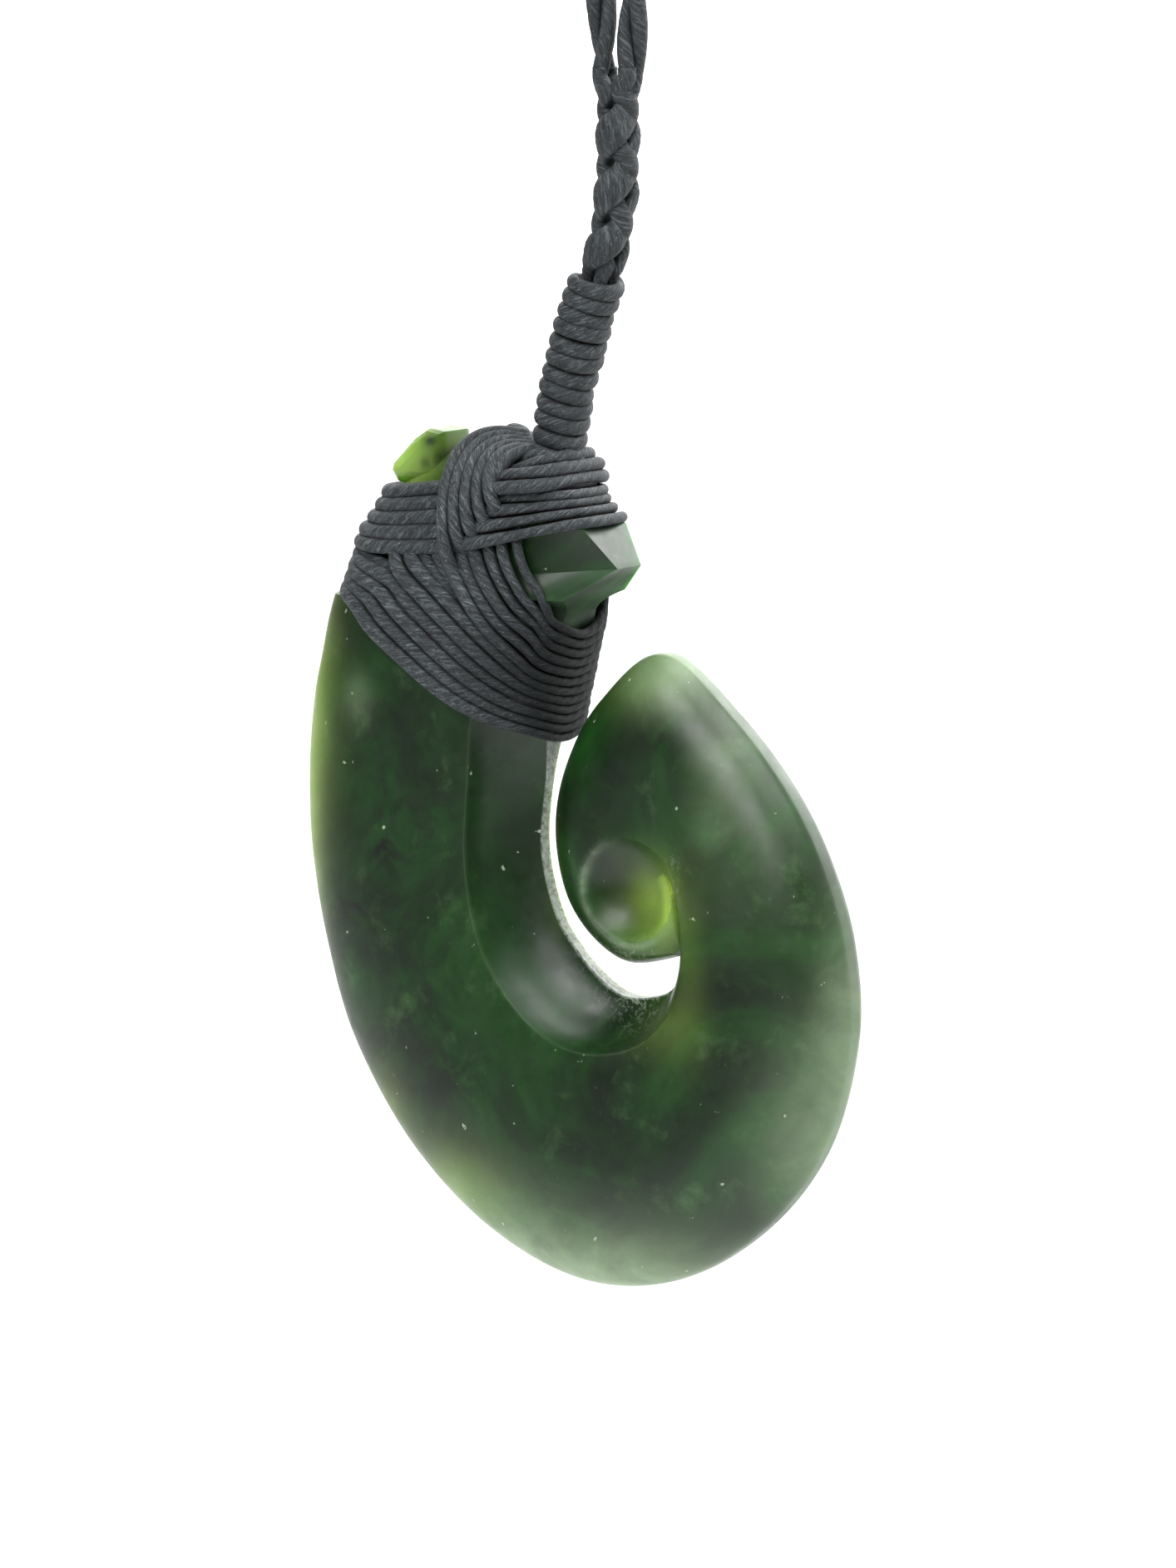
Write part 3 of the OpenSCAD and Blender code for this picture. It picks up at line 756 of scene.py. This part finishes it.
def slant_front(i):
    """Way of turn i over the front: angle round the shank, height share and lift."""
    f = i / (SLANT_TURNS - 1)
    whole = i < SLANT_ROUND
    line = slant_line(i)
    left_v = LEFT_V - LEFT_PITCH * i if whole else line[0, 1]
    edge_v = EDGE_V[0] + f * (EDGE_V[1] - EDGE_V[0])
    x0 = left_edge(height_of(left_v)) - SLANT_LIFT
    x1 = right_edge(height_of(edge_v)) + SLANT_LIFT

    def angle_at(u):
        q = ((u - HANG) * HOOK_W - (x0 + x1) / 2) / ((x1 - x0) / 2)
        return angle_of(min(max(q, -1), CORNER))

    spots = [[angle_at(u), v, SLANT_LIFT] for u, v in line]
    if whole:
        spots.insert(0, [-180, left_v, SLANT_LIFT])
    else:
        tuck = line[0] + SLANT_TUCK
        spots.insert(0, [angle_at(tuck[0]), tuck[1], TUCK_LIFT[1]])
        tuck = tuck + SLANT_TUCK / 2
        spots.insert(0, [angle_at(tuck[0]), tuck[1], TUCK_LIFT[0]])
    spots.append([0, edge_v, SLANT_LIFT])
    return np.array(spots), x0, x1


# Some turns lie a little higher than their neighbours
LANE_LIFT = (0.10, 0.0, 0.08, -0.04, 0.12, 0.02)
# Degrees and height shares that count as much as a millimetre of lift along a turn
ANGLE_UNIT = 60.0
HEIGHT_UNIT = 0.1
SLANT_STEP = 0.02


def slant_paths():
    """Way of each slanting turn, on the front and mirrored on the back."""
    paths = []
    for i in [*range(SLANT_TURNS), *SLANT_UNDER]:
        front, x0, x1 = slant_front(i)
        turn = np.vstack([front, front[-2::-1] * [-1, 1, 1]])
        turn[:, 2] += -UNDER_DROP if i in SLANT_UNDER else LANE_LIFT[i % len(LANE_LIFT)]
        smoothed = curve_through(turn / [ANGLE_UNIT, HEIGHT_UNIT, 1], SLANT_STEP)
        points = []
        for a, v, lift in smoothed * [ANGLE_UNIT, HEIGHT_UNIT, 1]:
            q, depth = across_of(a)
            z = height_of(v)
            points.append([(x0 + x1) / 2 + (x1 - x0) / 2 * q, (head_half(z) + lift) * depth, z])
        paths.append(even_steps(np.array(points), CORD_STEP))
    return paths


# Cords narrow from the first to the second of these places in x
SQUEEZE_X = (-9.5, -3.5)
# Share of its thickness that a cord loses for each share of its width
SQUEEZE_T = 0.5
# A cord's width varies over this length by this share
CORD_VARIES = (6, 0.03)
# A cord's middle line stays this far outside the stone. Turns that lie under the others sink
# into it towards the right edge, where the others hide them.
CLEAR = 0.22
SINK = 0.8


def to_right(path):
    """0 up to the first of those places, 1 from the second on."""
    return smooth((path[:, 0] - SQUEEZE_X[0]) / (SQUEEZE_X[1] - SQUEEZE_X[0]))


def lashing(name, node, paths, tree, material, squeeze, under=0):
    """Cords laid round the stone, squeezed by two shares, left and right; the last are under."""
    cords = []
    for i, path in enumerate(paths):
        gaps = np.full(len(path), CLEAR)
        if i >= len(paths) - under:
            sunk = to_right(path)
            gaps -= SINK * sunk
            path = path - (SINK * sunk)[:, None] * outward_of(path, tree)
        p = push_out(path, tree, gaps)
        wide = CORD_W * (1 + wander(len(p), CORD_STEP, *CORD_VARIES))
        squeezed = squeeze[0] + (squeeze[1] - squeeze[0]) * to_right(p)
        cords.append((p, outward_of(p, tree), wide * (1 - squeezed),
                      CORD_T * (1 - SQUEEZE_T * squeezed)))
    add_cords(name, cords, material, node)


# Crown turns: cords round the foot of the whipping, over the head's right shoulder. Each
# point is x from the hang line, y and z from the stone's top, and the back is the same.
CROWN_TURNS = [
    [[-7.2, -4.3, -4.4], [-6.1, -4.7, -4.15], [-4.9, -4.6, -4.0], [-3.7, -4.1, -3.9],
     [-3.0, -2.9, -3.8], [-2.75, -1.4, -3.7]],
    [[-6.4, -3.9, -3.5], [-5.3, -4.2, -3.3], [-4.1, -3.9, -3.15], [-3.2, -2.9, -3.0],
     [-2.85, -1.5, -2.9]],
    [[-6.0, -3.0, -3.3], [-5.0, -3.1, -2.9], [-4.0, -2.7, -2.5], [-3.3, -1.8, -2.3],
     [-3.05, -0.8, -2.2]],
    [[-6.2, -2.1, -3.1], [-5.6, -2.2, -2.5], [-4.8, -1.9, -2.2], [-4.2, -0.9, -2.1]],
    [[-6.3, -3.9, -4.3], [-6.3, -4.1, -3.5], [-6.2, -3.6, -2.6], [-5.9, -2.7, -2.1],
     [-5.5, -1.6, -1.95], [-5.3, -0.6, -1.95]]]
CROWN_W = 0.44


def crown_cords(tree):
    cords = []
    for line in CROWN_TURNS:
        front = np.array(line) + [0, 0, stone_top]
        path = curve_through(np.vstack([front, front[::-1] * [1, -1, 1]]), CORD_STEP)
        cords.append((path, outward_of(path, tree), CROWN_W, CORD_T))
    return cords


# Whipping: a close coil round the strands, bowed a little to the left

WHIP_BOW = 0.42
WHIP_SLOPE = 0.16
WHIP_CORD_W = 0.54
WHIP_CORD_T = 0.40
WHIP_STEP = 0.8 * CORD_STEP
WHIP_POINTS = 60
# The coil starts this many turns below the foot, and ends this many short of its top
WHIP_START = 1.2
WHIP_END = 0.4
# It flares over its first turns: by how much, up to which turn and over how many
WHIP_FLARE = (0.22, 0.4, 1.2)
# Its end is tucked in: by which share, from how many turns before the top and over how many
WHIP_TUCK = (0.5, 0.75, 0.35)
# Its turns shift over this many points by this share of a turn, and out by a share of that
WHIP_SHIFT = (25, 0.09)
WHIP_SHIFT_OUT = 0.5
WHIP_VARIES = (3, 0.04)
axis = np.array([math.sin(WHIP_LEAN), 0, math.cos(WHIP_LEAN)])
across = np.array([axis[2], 0, -axis[0]])
whip_foot = np.insert(place(*WHIP_FOOT), 1, 0)
whip_head = whip_foot + WHIP_L * axis


def whip_mid(u):
    """Middle line of the whipping at length u."""
    return whip_foot + u * axis - across * WHIP_BOW * math.sin(math.pi * np.clip(u / WHIP_L, 0, 1))


def whip_cord():
    pitch = WHIP_L / WHIP_TURNS
    points, out = [], []
    turns = np.arange(-WHIP_START * WHIP_POINTS, (WHIP_TURNS - WHIP_END) * WHIP_POINTS) / WHIP_POINTS
    uneven = wander(len(turns), 1, *WHIP_SHIFT)
    for turn, shift in zip(turns, uneven):
        a = 2 * math.pi * turn
        flare = WHIP_FLARE[0] * smooth((WHIP_FLARE[1] - turn) / WHIP_FLARE[2])
        tuck = WHIP_TUCK[0] * smooth((turn - WHIP_TURNS + WHIP_TUCK[1]) / WHIP_TUCK[2])
        r = (WHIP_D / 2 - WHIP_CORD_T + flare + WHIP_SHIFT_OUT * shift) * (1 - tuck)
        spoke = math.cos(a) * across + math.sin(a) * np.array([0, 1, 0])
        slope = -WHIP_SLOPE * r * math.cos(a)
        points.append(whip_mid((turn + 0.5 + shift) * pitch) + r * spoke + slope * axis)
        out.append(spoke)
    both = even_steps(np.column_stack([points, out]), WHIP_STEP)
    path = both[:, :3]
    wide = WHIP_CORD_W * (1 + wander(len(path), CORD_STEP, *WHIP_VARIES))
    return path, both[:, 3:], wide, WHIP_CORD_T


# Plait: four strands that go over and under one another, up to the fork

# Half width of the strands that turn one way and the other, and half thickness of all
STRAND_WIDE = (0.66, 0.98)
STRAND_DEEP = 0.50
# A strand swells on top, and weaves in and out by this share of its distance from the
# middle, flatter at its ends. Those that turn the second way lie further out.
STRAND_SWELL = 0.10
STRAND_WEAVE = 0.27
WEAVE_FLAT = 0.25
STRAND_OUTER = 0.10
# Half width in the whipping and at the fork
SEAT_W = 0.45
FORK_W = 0.58
# How far the strands reach into the whipping and into the fork
INTO_WHIP = 1.2
INTO_FORK = 0.5
STRAND_STEP = 0.7 * CORD_STEP
STRAND_POINTS = 170
NEARBY = 0.05


def plait_mid(u):
    """Middle line of the plait at length u above the foot of the whipping."""
    if u <= WHIP_L:
        return whip_foot + u * axis
    if u > WHIP_L + PLAIT_L:
        return hang + [0, 0, u - WHIP_L - PLAIT_L]
    leaves = np.array([axis[0] * LEAN_ON, 0, axis[2]]) * PLAIT_L
    return cubic((u - WHIP_L) / PLAIT_L, whip_head, leaves, hang, np.array([0, 0, PLAIT_L]))


def strand_cord(i):
    way = 1 if i % 2 == 0 else -1
    mid_r = STRAND_T + STRAND_GAP
    points, out, wide, deep = [], [], [], []
    for u in np.linspace(WHIP_L - INTO_WHIP, WHIP_L + PLAIT_L + INTO_FORK, STRAND_POINTS):
        run = np.clip((u - WHIP_L - OPEN_OUT) / (PLAIT_L - OPEN_OUT - OPEN_FORK), 0, 1)
        turn = 2 * math.pi * PLAIT_TURNS * run
        over = math.sin(2 * turn) * (1 + WEAVE_FLAT - WEAVE_FLAT * math.sin(2 * turn) ** 2)
        angle = math.radians(45 + 90 * i) + way * turn
        opened = smooth((u - WHIP_L) / OPEN_OUT)
        fork = smooth((u - WHIP_L - PLAIT_L + OPEN_FORK) / OPEN_FORK)
        r = STRAND_SEAT + opened * (mid_r + way * (STRAND_WEAVE * mid_r * over + STRAND_OUTER)
                                    - STRAND_SEAT)
        at = np.array([r * math.cos(angle), r * math.sin(angle)])
        at = at + fork * (np.array(FORK) * np.sign(at) - at)
        d = plait_mid(u + NEARBY) - plait_mid(u - NEARBY)
        side = np.array([d[2], 0, -d[0]]) / np.linalg.norm(d)
        points.append(plait_mid(u) + side * at[0] + [0, at[1], 0])
        out.append(side * math.cos(angle) + np.array([0, math.sin(angle), 0]))
        full = STRAND_WIDE[way > 0] * (1 + STRAND_SWELL * way * over * (1 - fork))
        wide.append(SEAT_W + opened * (full - SEAT_W) + fork * (FORK_W - full))
        deep.append(SEAT_W + opened * (STRAND_DEEP - SEAT_W))
    both = even_steps(np.column_stack([points, out, wide, deep]), STRAND_STEP)
    return both[:, :3], both[:, 3:6], both[:, 6], both[:, 7]


# Neck cord: two twisted cords laid side by side all the way round

NECK_STEP = 0.45
NECK_SIDES = 10
# Length of one turn of the pair, how far each cord lies from its middle, and half width and
# half thickness of a cord
NECK_LAY = 13.0
NECK_APART = 0.47
NECK_CORD_W = 0.55
NECK_CORD_T = 0.5
ROUTE_POINTS = 481


def route_point(t):
    """Middle of the pair at t, from -1 at the fork's left over the top to 1 at its right."""
    side = -1 if t < 0 else 1
    p = between(ROUTE, (1 - abs(t)) * (len(ROUTE) - 1))
    return np.array([side * (FORK[0] * abs(t) + p[0] * LOOP_W / 2), 0, p[1] * LOOP_H - neck_r])


def neck_cords():
    route = np.array([route_point(t) for t in np.linspace(-1, 1, ROUTE_POINTS)])
    middle = even_steps(route, NECK_STEP)
    tangent = unit(np.gradient(middle, axis=0))
    side = np.column_stack([tangent[:, 2], np.zeros(len(middle)), -tangent[:, 0]])
    run = np.arange(len(middle)) * NECK_STEP
    turn = math.pi / 2 + np.minimum(run, run[::-1]) * 2 * math.pi / NECK_LAY
    cords = []
    for phase in (0, math.pi):
        spoke = np.cos(turn + phase)[:, None] * side + np.sin(turn + phase)[:, None] * [0, 1, 0]
        cords.append((middle + NECK_APART * spoke, spoke, NECK_CORD_W, NECK_CORD_T))
    return cords


# Materials

def colour(text):
    """A colour written as six hex digits, as Blender's linear values."""
    parts = [int(text[k:k + 2], 16) / 255 for k in (0, 2, 4)]
    return [c / 12.92 if c <= 0.04045 else ((c + 0.055) / 1.055) ** 2.4 for c in parts] + [1]


class Nodes:
    """Builds a material's nodes with short calls."""

    def __init__(self, name):
        self.material = bpy.data.materials.new(name)
        self.material.use_nodes = True
        self.tree = self.material.node_tree
        self.shader = self.tree.nodes["Principled BSDF"]

    def add(self, kind, inputs=None, **settings):
        node = self.tree.nodes.new(kind)
        for key, value in settings.items():
            setattr(node, key, value)
        for key, value in (inputs or {}).items():
            self.put(node.inputs[key], value)
        return node

    def put(self, socket, value):
        if isinstance(value, bpy.types.NodeSocket):
            self.tree.links.new(value, socket)
        else:
            socket.default_value = value

    def noise(self, where, scale, detail=4.0, rough=0.55, twist=0.0):
        node = self.add("ShaderNodeTexNoise", {"Vector": where, "Scale": scale, "Detail": detail,
                                               "Roughness": rough, "Distortion": twist})
        return node.outputs["Fac"]

    def ramp(self, value, stops):
        """A colour ramp through (place, colour or number) stops."""
        node = self.add("ShaderNodeValToRGB", {"Fac": value})
        elements = node.color_ramp.elements
        while len(elements) < len(stops):
            elements.new(0.5)
        for element, (at, shade) in zip(elements, stops):
            element.position = at
            element.color = colour(shade) if isinstance(shade, str) else [shade] * 3 + [1]
        return node.outputs["Color"]

    def mix(self, factor, a, b):
        """Colour a, with the share factor of it taken by colour b."""
        node = self.add("ShaderNodeMix", data_type="RGBA")
        self.put(node.inputs[0], factor)
        for socket, value in ((node.inputs[6], a), (node.inputs[7], b)):
            self.put(socket, colour(value) if isinstance(value, str) else value)
        return node.outputs[2]

    def math(self, operation, a, b=0.0, clamp=False):
        node = self.add("ShaderNodeMath", operation=operation, use_clamp=clamp)
        self.put(node.inputs[0], a)
        self.put(node.inputs[1], b)
        return node.outputs[0]

    def times(self, a, b):
        return self.math("MULTIPLY", a, b)

    def attribute(self, name):
        return self.add("ShaderNodeAttribute", attribute_name=name).outputs["Fac"]

    def bump(self, height, strength, distance, under=None):
        node = self.add("ShaderNodeBump", {"Height": height, "Strength": strength,
                                           "Distance": distance})
        if under is not None:
            self.put(node.inputs["Normal"], under)
        return node.outputs["Normal"]

    def set(self, **sockets):
        for key, value in sockets.items():
            self.put(self.shader.inputs[key.replace("_", " ")], value)


# How far light goes in the stone, in metres, and how far each colour of it goes
GLOW_DEPTH = 0.0028
GLOW_SPREAD = (0.6, 1.0, 0.2)
MATTE_ROUGH = (0.9, 0.9, 0.9, 1)


def greenstone():
    n = Nodes("greenstone")
    where = n.add("ShaderNodeTexCoord").outputs["Object"]
    thin, glow, pale, dark = [n.attribute(k) for k in ("thin", "glow", "pale", "dark")]
    edge, deep, wall_reflection, ring = [n.attribute(k) for k in ("edge", "deep", "wall_reflection", "ring")]
    cloud = n.noise(where, 95, 6, 0.62, 1.2)
    base = n.ramp(cloud, [(0.30, "071807"), (0.46, "0e2d0b"), (0.60, "174214"), (0.76, "2c5f23")])
    wisp = n.noise(where, 300, 8, 0.7, 0.3)
    base = n.mix(n.ramp(wisp, [(0.56, 0.0), (0.76, 0.5)]), base, "547648")
    spots = n.ramp(n.noise(where, 420, 5, 0.6, 1.0), [(0.42, 0.0), (0.56, 1.0)])
    base = n.mix(n.times(dark, spots), base, "0a110d")
    veil = n.ramp(n.noise(where, 150, 6, 0.6, 1.6), [(0.28, 0.42), (0.66, 0.8)])
    base = n.mix(n.times(pale, veil), base, "b4cfa4")
    # painted glow where light comes through, stronger where the stone is thin
    lit = n.math("ADD", n.times(glow, 0.8), n.times(glow, thin), clamp=True)
    uneven = n.ramp(wisp, [(0.2, 0.75), (0.6, 1.0)])
    base = n.mix(n.times(lit, uneven), base, "acd05c")
    # painted shade in the hollows along the gap and in the dish, and dark specks on the left lug
    base = n.mix(deep, base, "11260e")
    speck = n.noise(where, 1430, 2, 0.5)
    base = n.mix(n.ramp(speck, [(0.735, 0.0), (0.775, 0.6)]), base, "c9dabd")
    # painted highlight along the crest of the inner bevel, faint
    base = n.mix(n.ramp(edge, [(0.75, 0.0), (1.0, 0.05)]), base, "a9bf9f")
    # painted highlight on the dish's rim, on its left and its foot, broken up by the spots
    broken = n.ramp(spots, [(0.0, 0.2), (1.0, 0.4)])
    base = n.mix(n.times(ring, broken), base, "a3b89a")
    stroke = n.noise(where, 1900, 4, 0.6, 1.5)
    flakes = n.ramp(stroke, [(0.52, 0.0), (0.60, 0.8)])
    base = n.mix(n.times(n.attribute("marks"), flakes), base, "b4bfae")
    # painted reflection: the narrow wall along the gap is painted light grey, with flecks
    wall_reflection_colour = n.ramp(stroke, [(0.38, "5d655c"), (0.50, "8f958e"), (0.62, "a5aaa4")])
    base = n.mix(n.times(wall_reflection, 0.9), base, wall_reflection_colour)
    n.set(Base_Color=base, Subsurface_Weight=n.ramp(lit, [(0.0, 0.3), (0.8, 0.85)]),
          Subsurface_Scale=GLOW_DEPTH, Subsurface_Radius=GLOW_SPREAD, IOR=1.5)
    polish = n.ramp(n.noise(where, 700, 4, 0.6), [(0.3, 0.28), (0.7, 0.42)])
    worn = n.bump(n.noise(where, 160, 3, 0.5), 0.25, 0.0002)
    n.set(Roughness=n.mix(n.attribute("matte"), polish, MATTE_ROUGH),
          Normal=n.bump(n.noise(where, 2600, 3, 0.6), 0.05, 0.00003, worn))
    return n.material


# The cord's twist: its plies, and the length of one turn of them in millimetres
CORD_PLIES = 3
CORD_LAY = 3.4
WAX = ("1c2023", "3e4549", "7c8487")
# Painted shade darkens the cords round the right end of the slanting turns, at these shares of HOOK_W
# and HOOK_H and within this reach in metres; the cords above the stone's top are darker too, in part
CORD_DARK_AND_SHADE = "070c0c"
SHADE_AT = (0.50, 0.29)
SHADE_REACH = 0.009
DARK_ABOVE = 0.25
DARK_FADE = 0.002
# Painted shade: hollows between cords are painted dark within this distance in metres
SHADE_DISTANCE = 0.0009


def streaks(n, along, twisted, stretch, lines, detail):
    """Noise drawn out along the fibres of a cord."""
    where = n.add("ShaderNodeCombineXYZ", {"X": n.times(along, stretch), "Y": n.times(twisted, lines)})
    return n.noise(where.outputs[0], 1.0, detail, 0.7)


def waxed_cord():
    """Twisted waxed cord. Its uv runs along the cord in millimetres and once round it."""
    n = Nodes("waxed_cord")
    uv = n.add("ShaderNodeUVMap", uv_map="cord").outputs["UV"]
    parts = n.add("ShaderNodeSeparateXYZ", {"Vector": uv})
    along = parts.outputs["X"]
    twisted = n.math("ADD", n.times(along, 1 / CORD_LAY), parts.outputs["Y"])
    where = n.add("ShaderNodeTexCoord").outputs["Object"]
    height = n.add("ShaderNodeSeparateXYZ", {"Vector": where}).outputs["Z"]
    fibre = streaks(n, along, twisted, 1.2, 15.0, 4)
    stroke = streaks(n, along, twisted, 3.2, 22.0, 3)
    ply = n.math("SINE", n.times(twisted, 2 * math.pi * CORD_PLIES))
    ply = n.math("ADD", n.times(ply, 0.5), 0.5)
    broad = n.noise(where, 350, 3, 0.5)
    fine = n.noise(where, 6500, 3, 0.7)
    base = n.ramp(fibre, [(0.36, WAX[0]), (0.52, WAX[1]), (0.68, WAX[2])])
    base = n.mix(n.ramp(broad, [(0.35, 0.0), (0.7, 0.45)]), base, WAX[0])
    # painted shade in the grooves between the plies
    base = n.mix(n.ramp(ply, [(0.0, 0.42), (0.35, 0.0)]), base, "101213")
    base = n.mix(n.ramp(stroke, [(0.60, 0.0), (0.74, 0.75)]), base, "a4a9a9")
    base = n.mix(n.ramp(fine, [(0.66, 0.0), (0.74, 0.7)]), base, "c2c7c6")
    # painted shade round the right end of the slanting turns
    x, z = place(*SHADE_AT) * MM
    apart = n.add("ShaderNodeVectorMath", {0: where, 1: (x, 0, z)}, operation="DISTANCE")
    near = n.math("DIVIDE", apart.outputs["Value"], SHADE_REACH)
    base = n.mix(n.ramp(near, [(0.45, 0.8), (1.0, 0.0)]), base, CORD_DARK_AND_SHADE)
    above = n.add("ShaderNodeMapRange", {"Value": height, "To Max": DARK_ABOVE,
                                         "From Min": stone_top * MM - DARK_FADE,
                                         "From Max": stone_top * MM + DARK_FADE})
    base = n.mix(above.outputs[0], base, CORD_DARK_AND_SHADE)
    # painted shade in the hollows between cords, from ambient occlusion
    crevice_shade = n.add("ShaderNodeAmbientOcclusion", {"Distance": SHADE_DISTANCE}, samples=6, only_local=True)
    base = n.mix(n.ramp(crevice_shade.outputs["AO"], [(0.30, 1.0), (0.85, 0.0)]), base, "040505")
    laid = n.bump(ply, 0.42, 0.00012)
    combed = n.bump(fibre, 1.0, 0.00012, laid)
    n.set(Base_Color=base, Roughness=n.ramp(fibre, [(0.3, 0.5), (0.7, 0.72)]),
          Specular_IOR_Level=n.ramp(near, [(0.45, 0.2), (1.0, 0.5)]), IOR=1.45,
          Sheen_Weight=0.06, Sheen_Roughness=0.5, Normal=n.bump(fine, 0.8, 0.00006, combed))
    return n.material


def floor_paint():
    n = Nodes("floor")
    where = n.add("ShaderNodeTexCoord").outputs["Object"]
    n.set(Base_Color=n.ramp(n.noise(where, 3.0, 2), [(0.3, 0.86), (0.7, 0.88)]), Roughness=0.9)
    return n.material


# Floor and light

# The floor, in metres: its height, its side and the place of its far edge in y
FLOOR_Z = -0.52
FLOOR_SIZE = 60.0
FLOOR_BACK = 2.7
PENDANT = (0, 0, -0.29)
# Softboxes, in metres: place, the point it is turned to, width, height, and watts
SOFTBOXES = [((-1.15, 1.9, 0.7), (-1.15, 1.9, -1.0), 3.2, 2.8, 72),
             ((0.20, -0.06, 0.28), PENDANT, 0.60, 0.6, 5.2),
             ((0.95, 0.15, 0.0), PENDANT, 1.1, 1.1, 1.1),
             ((0.03, -0.64, 0.15), PENDANT, 0.50, 0.36, 3.8),
             ((0.25, 0.76, 0.13), PENDANT, 0.5, 0.4, 2.4)]
# The sky is bright behind and dim in front and higher up, as in a light tent open in front.
# Each row: the axis along which it fades, from where to where, and the strength at both ends.
SKY_FADES = [("Y", 0.4, 0.85, 0.09, 2.0), ("Z", 0.12, 0.55, 1.0, 0.3)]


def light_sky():
    world = bpy.data.worlds.new("studio")
    world.use_nodes = True
    nodes, links = world.node_tree.nodes, world.node_tree.links
    parts = nodes.new("ShaderNodeSeparateXYZ")
    links.new(nodes.new("ShaderNodeTexCoord").outputs["Generated"], parts.inputs[0])
    strength = nodes.new("ShaderNodeMath")
    strength.operation = "MULTIPLY"
    for i, (axis_name, *reach_and_ends) in enumerate(SKY_FADES):
        fade = nodes.new("ShaderNodeMapRange")
        fade.interpolation_type = "SMOOTHSTEP"
        for socket, value in zip(("From Min", "From Max", "To Min", "To Max"), reach_and_ends):
            fade.inputs[socket].default_value = value
        links.new(parts.outputs[axis_name], fade.inputs["Value"])
        links.new(fade.outputs["Result"], strength.inputs[i])
    sky = nodes["Background"]
    sky.inputs["Color"].default_value = (1, 1, 1, 1)
    links.new(strength.outputs[0], sky.inputs["Strength"])
    bpy.context.scene.world = world


def light_scene():
    bpy.ops.mesh.primitive_plane_add(size=FLOOR_SIZE,
                                     location=(0, FLOOR_BACK - FLOOR_SIZE / 2, FLOOR_Z))
    floor = bpy.context.object
    floor.name = "floor"
    floor.data.materials.append(floor_paint())
    for i, (spot, aim, wide, high, watts) in enumerate(SOFTBOXES):
        data = bpy.data.lights.new(f"softbox_{i}", "AREA")
        data.shape = "RECTANGLE"
        data.size = wide
        data.size_y = high
        data.energy = watts
        lamp = new_object(f"softbox_{i}", data)
        lamp.location = spot
        lamp.rotation_euler = (Vector(aim) - Vector(spot)).to_track_quat("-Z", "Y").to_euler()
    light_sky()
    bpy.context.scene.view_settings.view_transform = "Standard"


add_camera()
stone = make_stone()
stone_tree = tree_of(stone)
paint_stone(stone, stone_tree)
add_piece(stone, "greenstone", greenstone(), "hook")

cord_paint = waxed_cord()
lashing("neck_turns", "neck_lashing", [neck_path()], stone_tree, cord_paint, NECK_SQUEEZE)
lashing("slant_turns", "slant_lashing", slant_paths(), stone_tree, cord_paint, SLANT_SQUEEZE,
        len(SLANT_UNDER))
lashing("saddle_turns", "saddle_lashing", saddle_paths(), stone_tree, cord_paint,
        SADDLE_SQUEEZE)
add_cords("crown_turns", crown_cords(stone_tree), cord_paint)
add_cords("whipping_coil", [whip_cord()], cord_paint, "whipping")
for i, letter in enumerate("abcd"):
    add_cords("strand_cord_" + letter, [strand_cord(i)], cord_paint, "strand_" + letter)
add_cords("neck_cords", neck_cords(), cord_paint, "neck_cord", sides=NECK_SIDES)
light_scene()
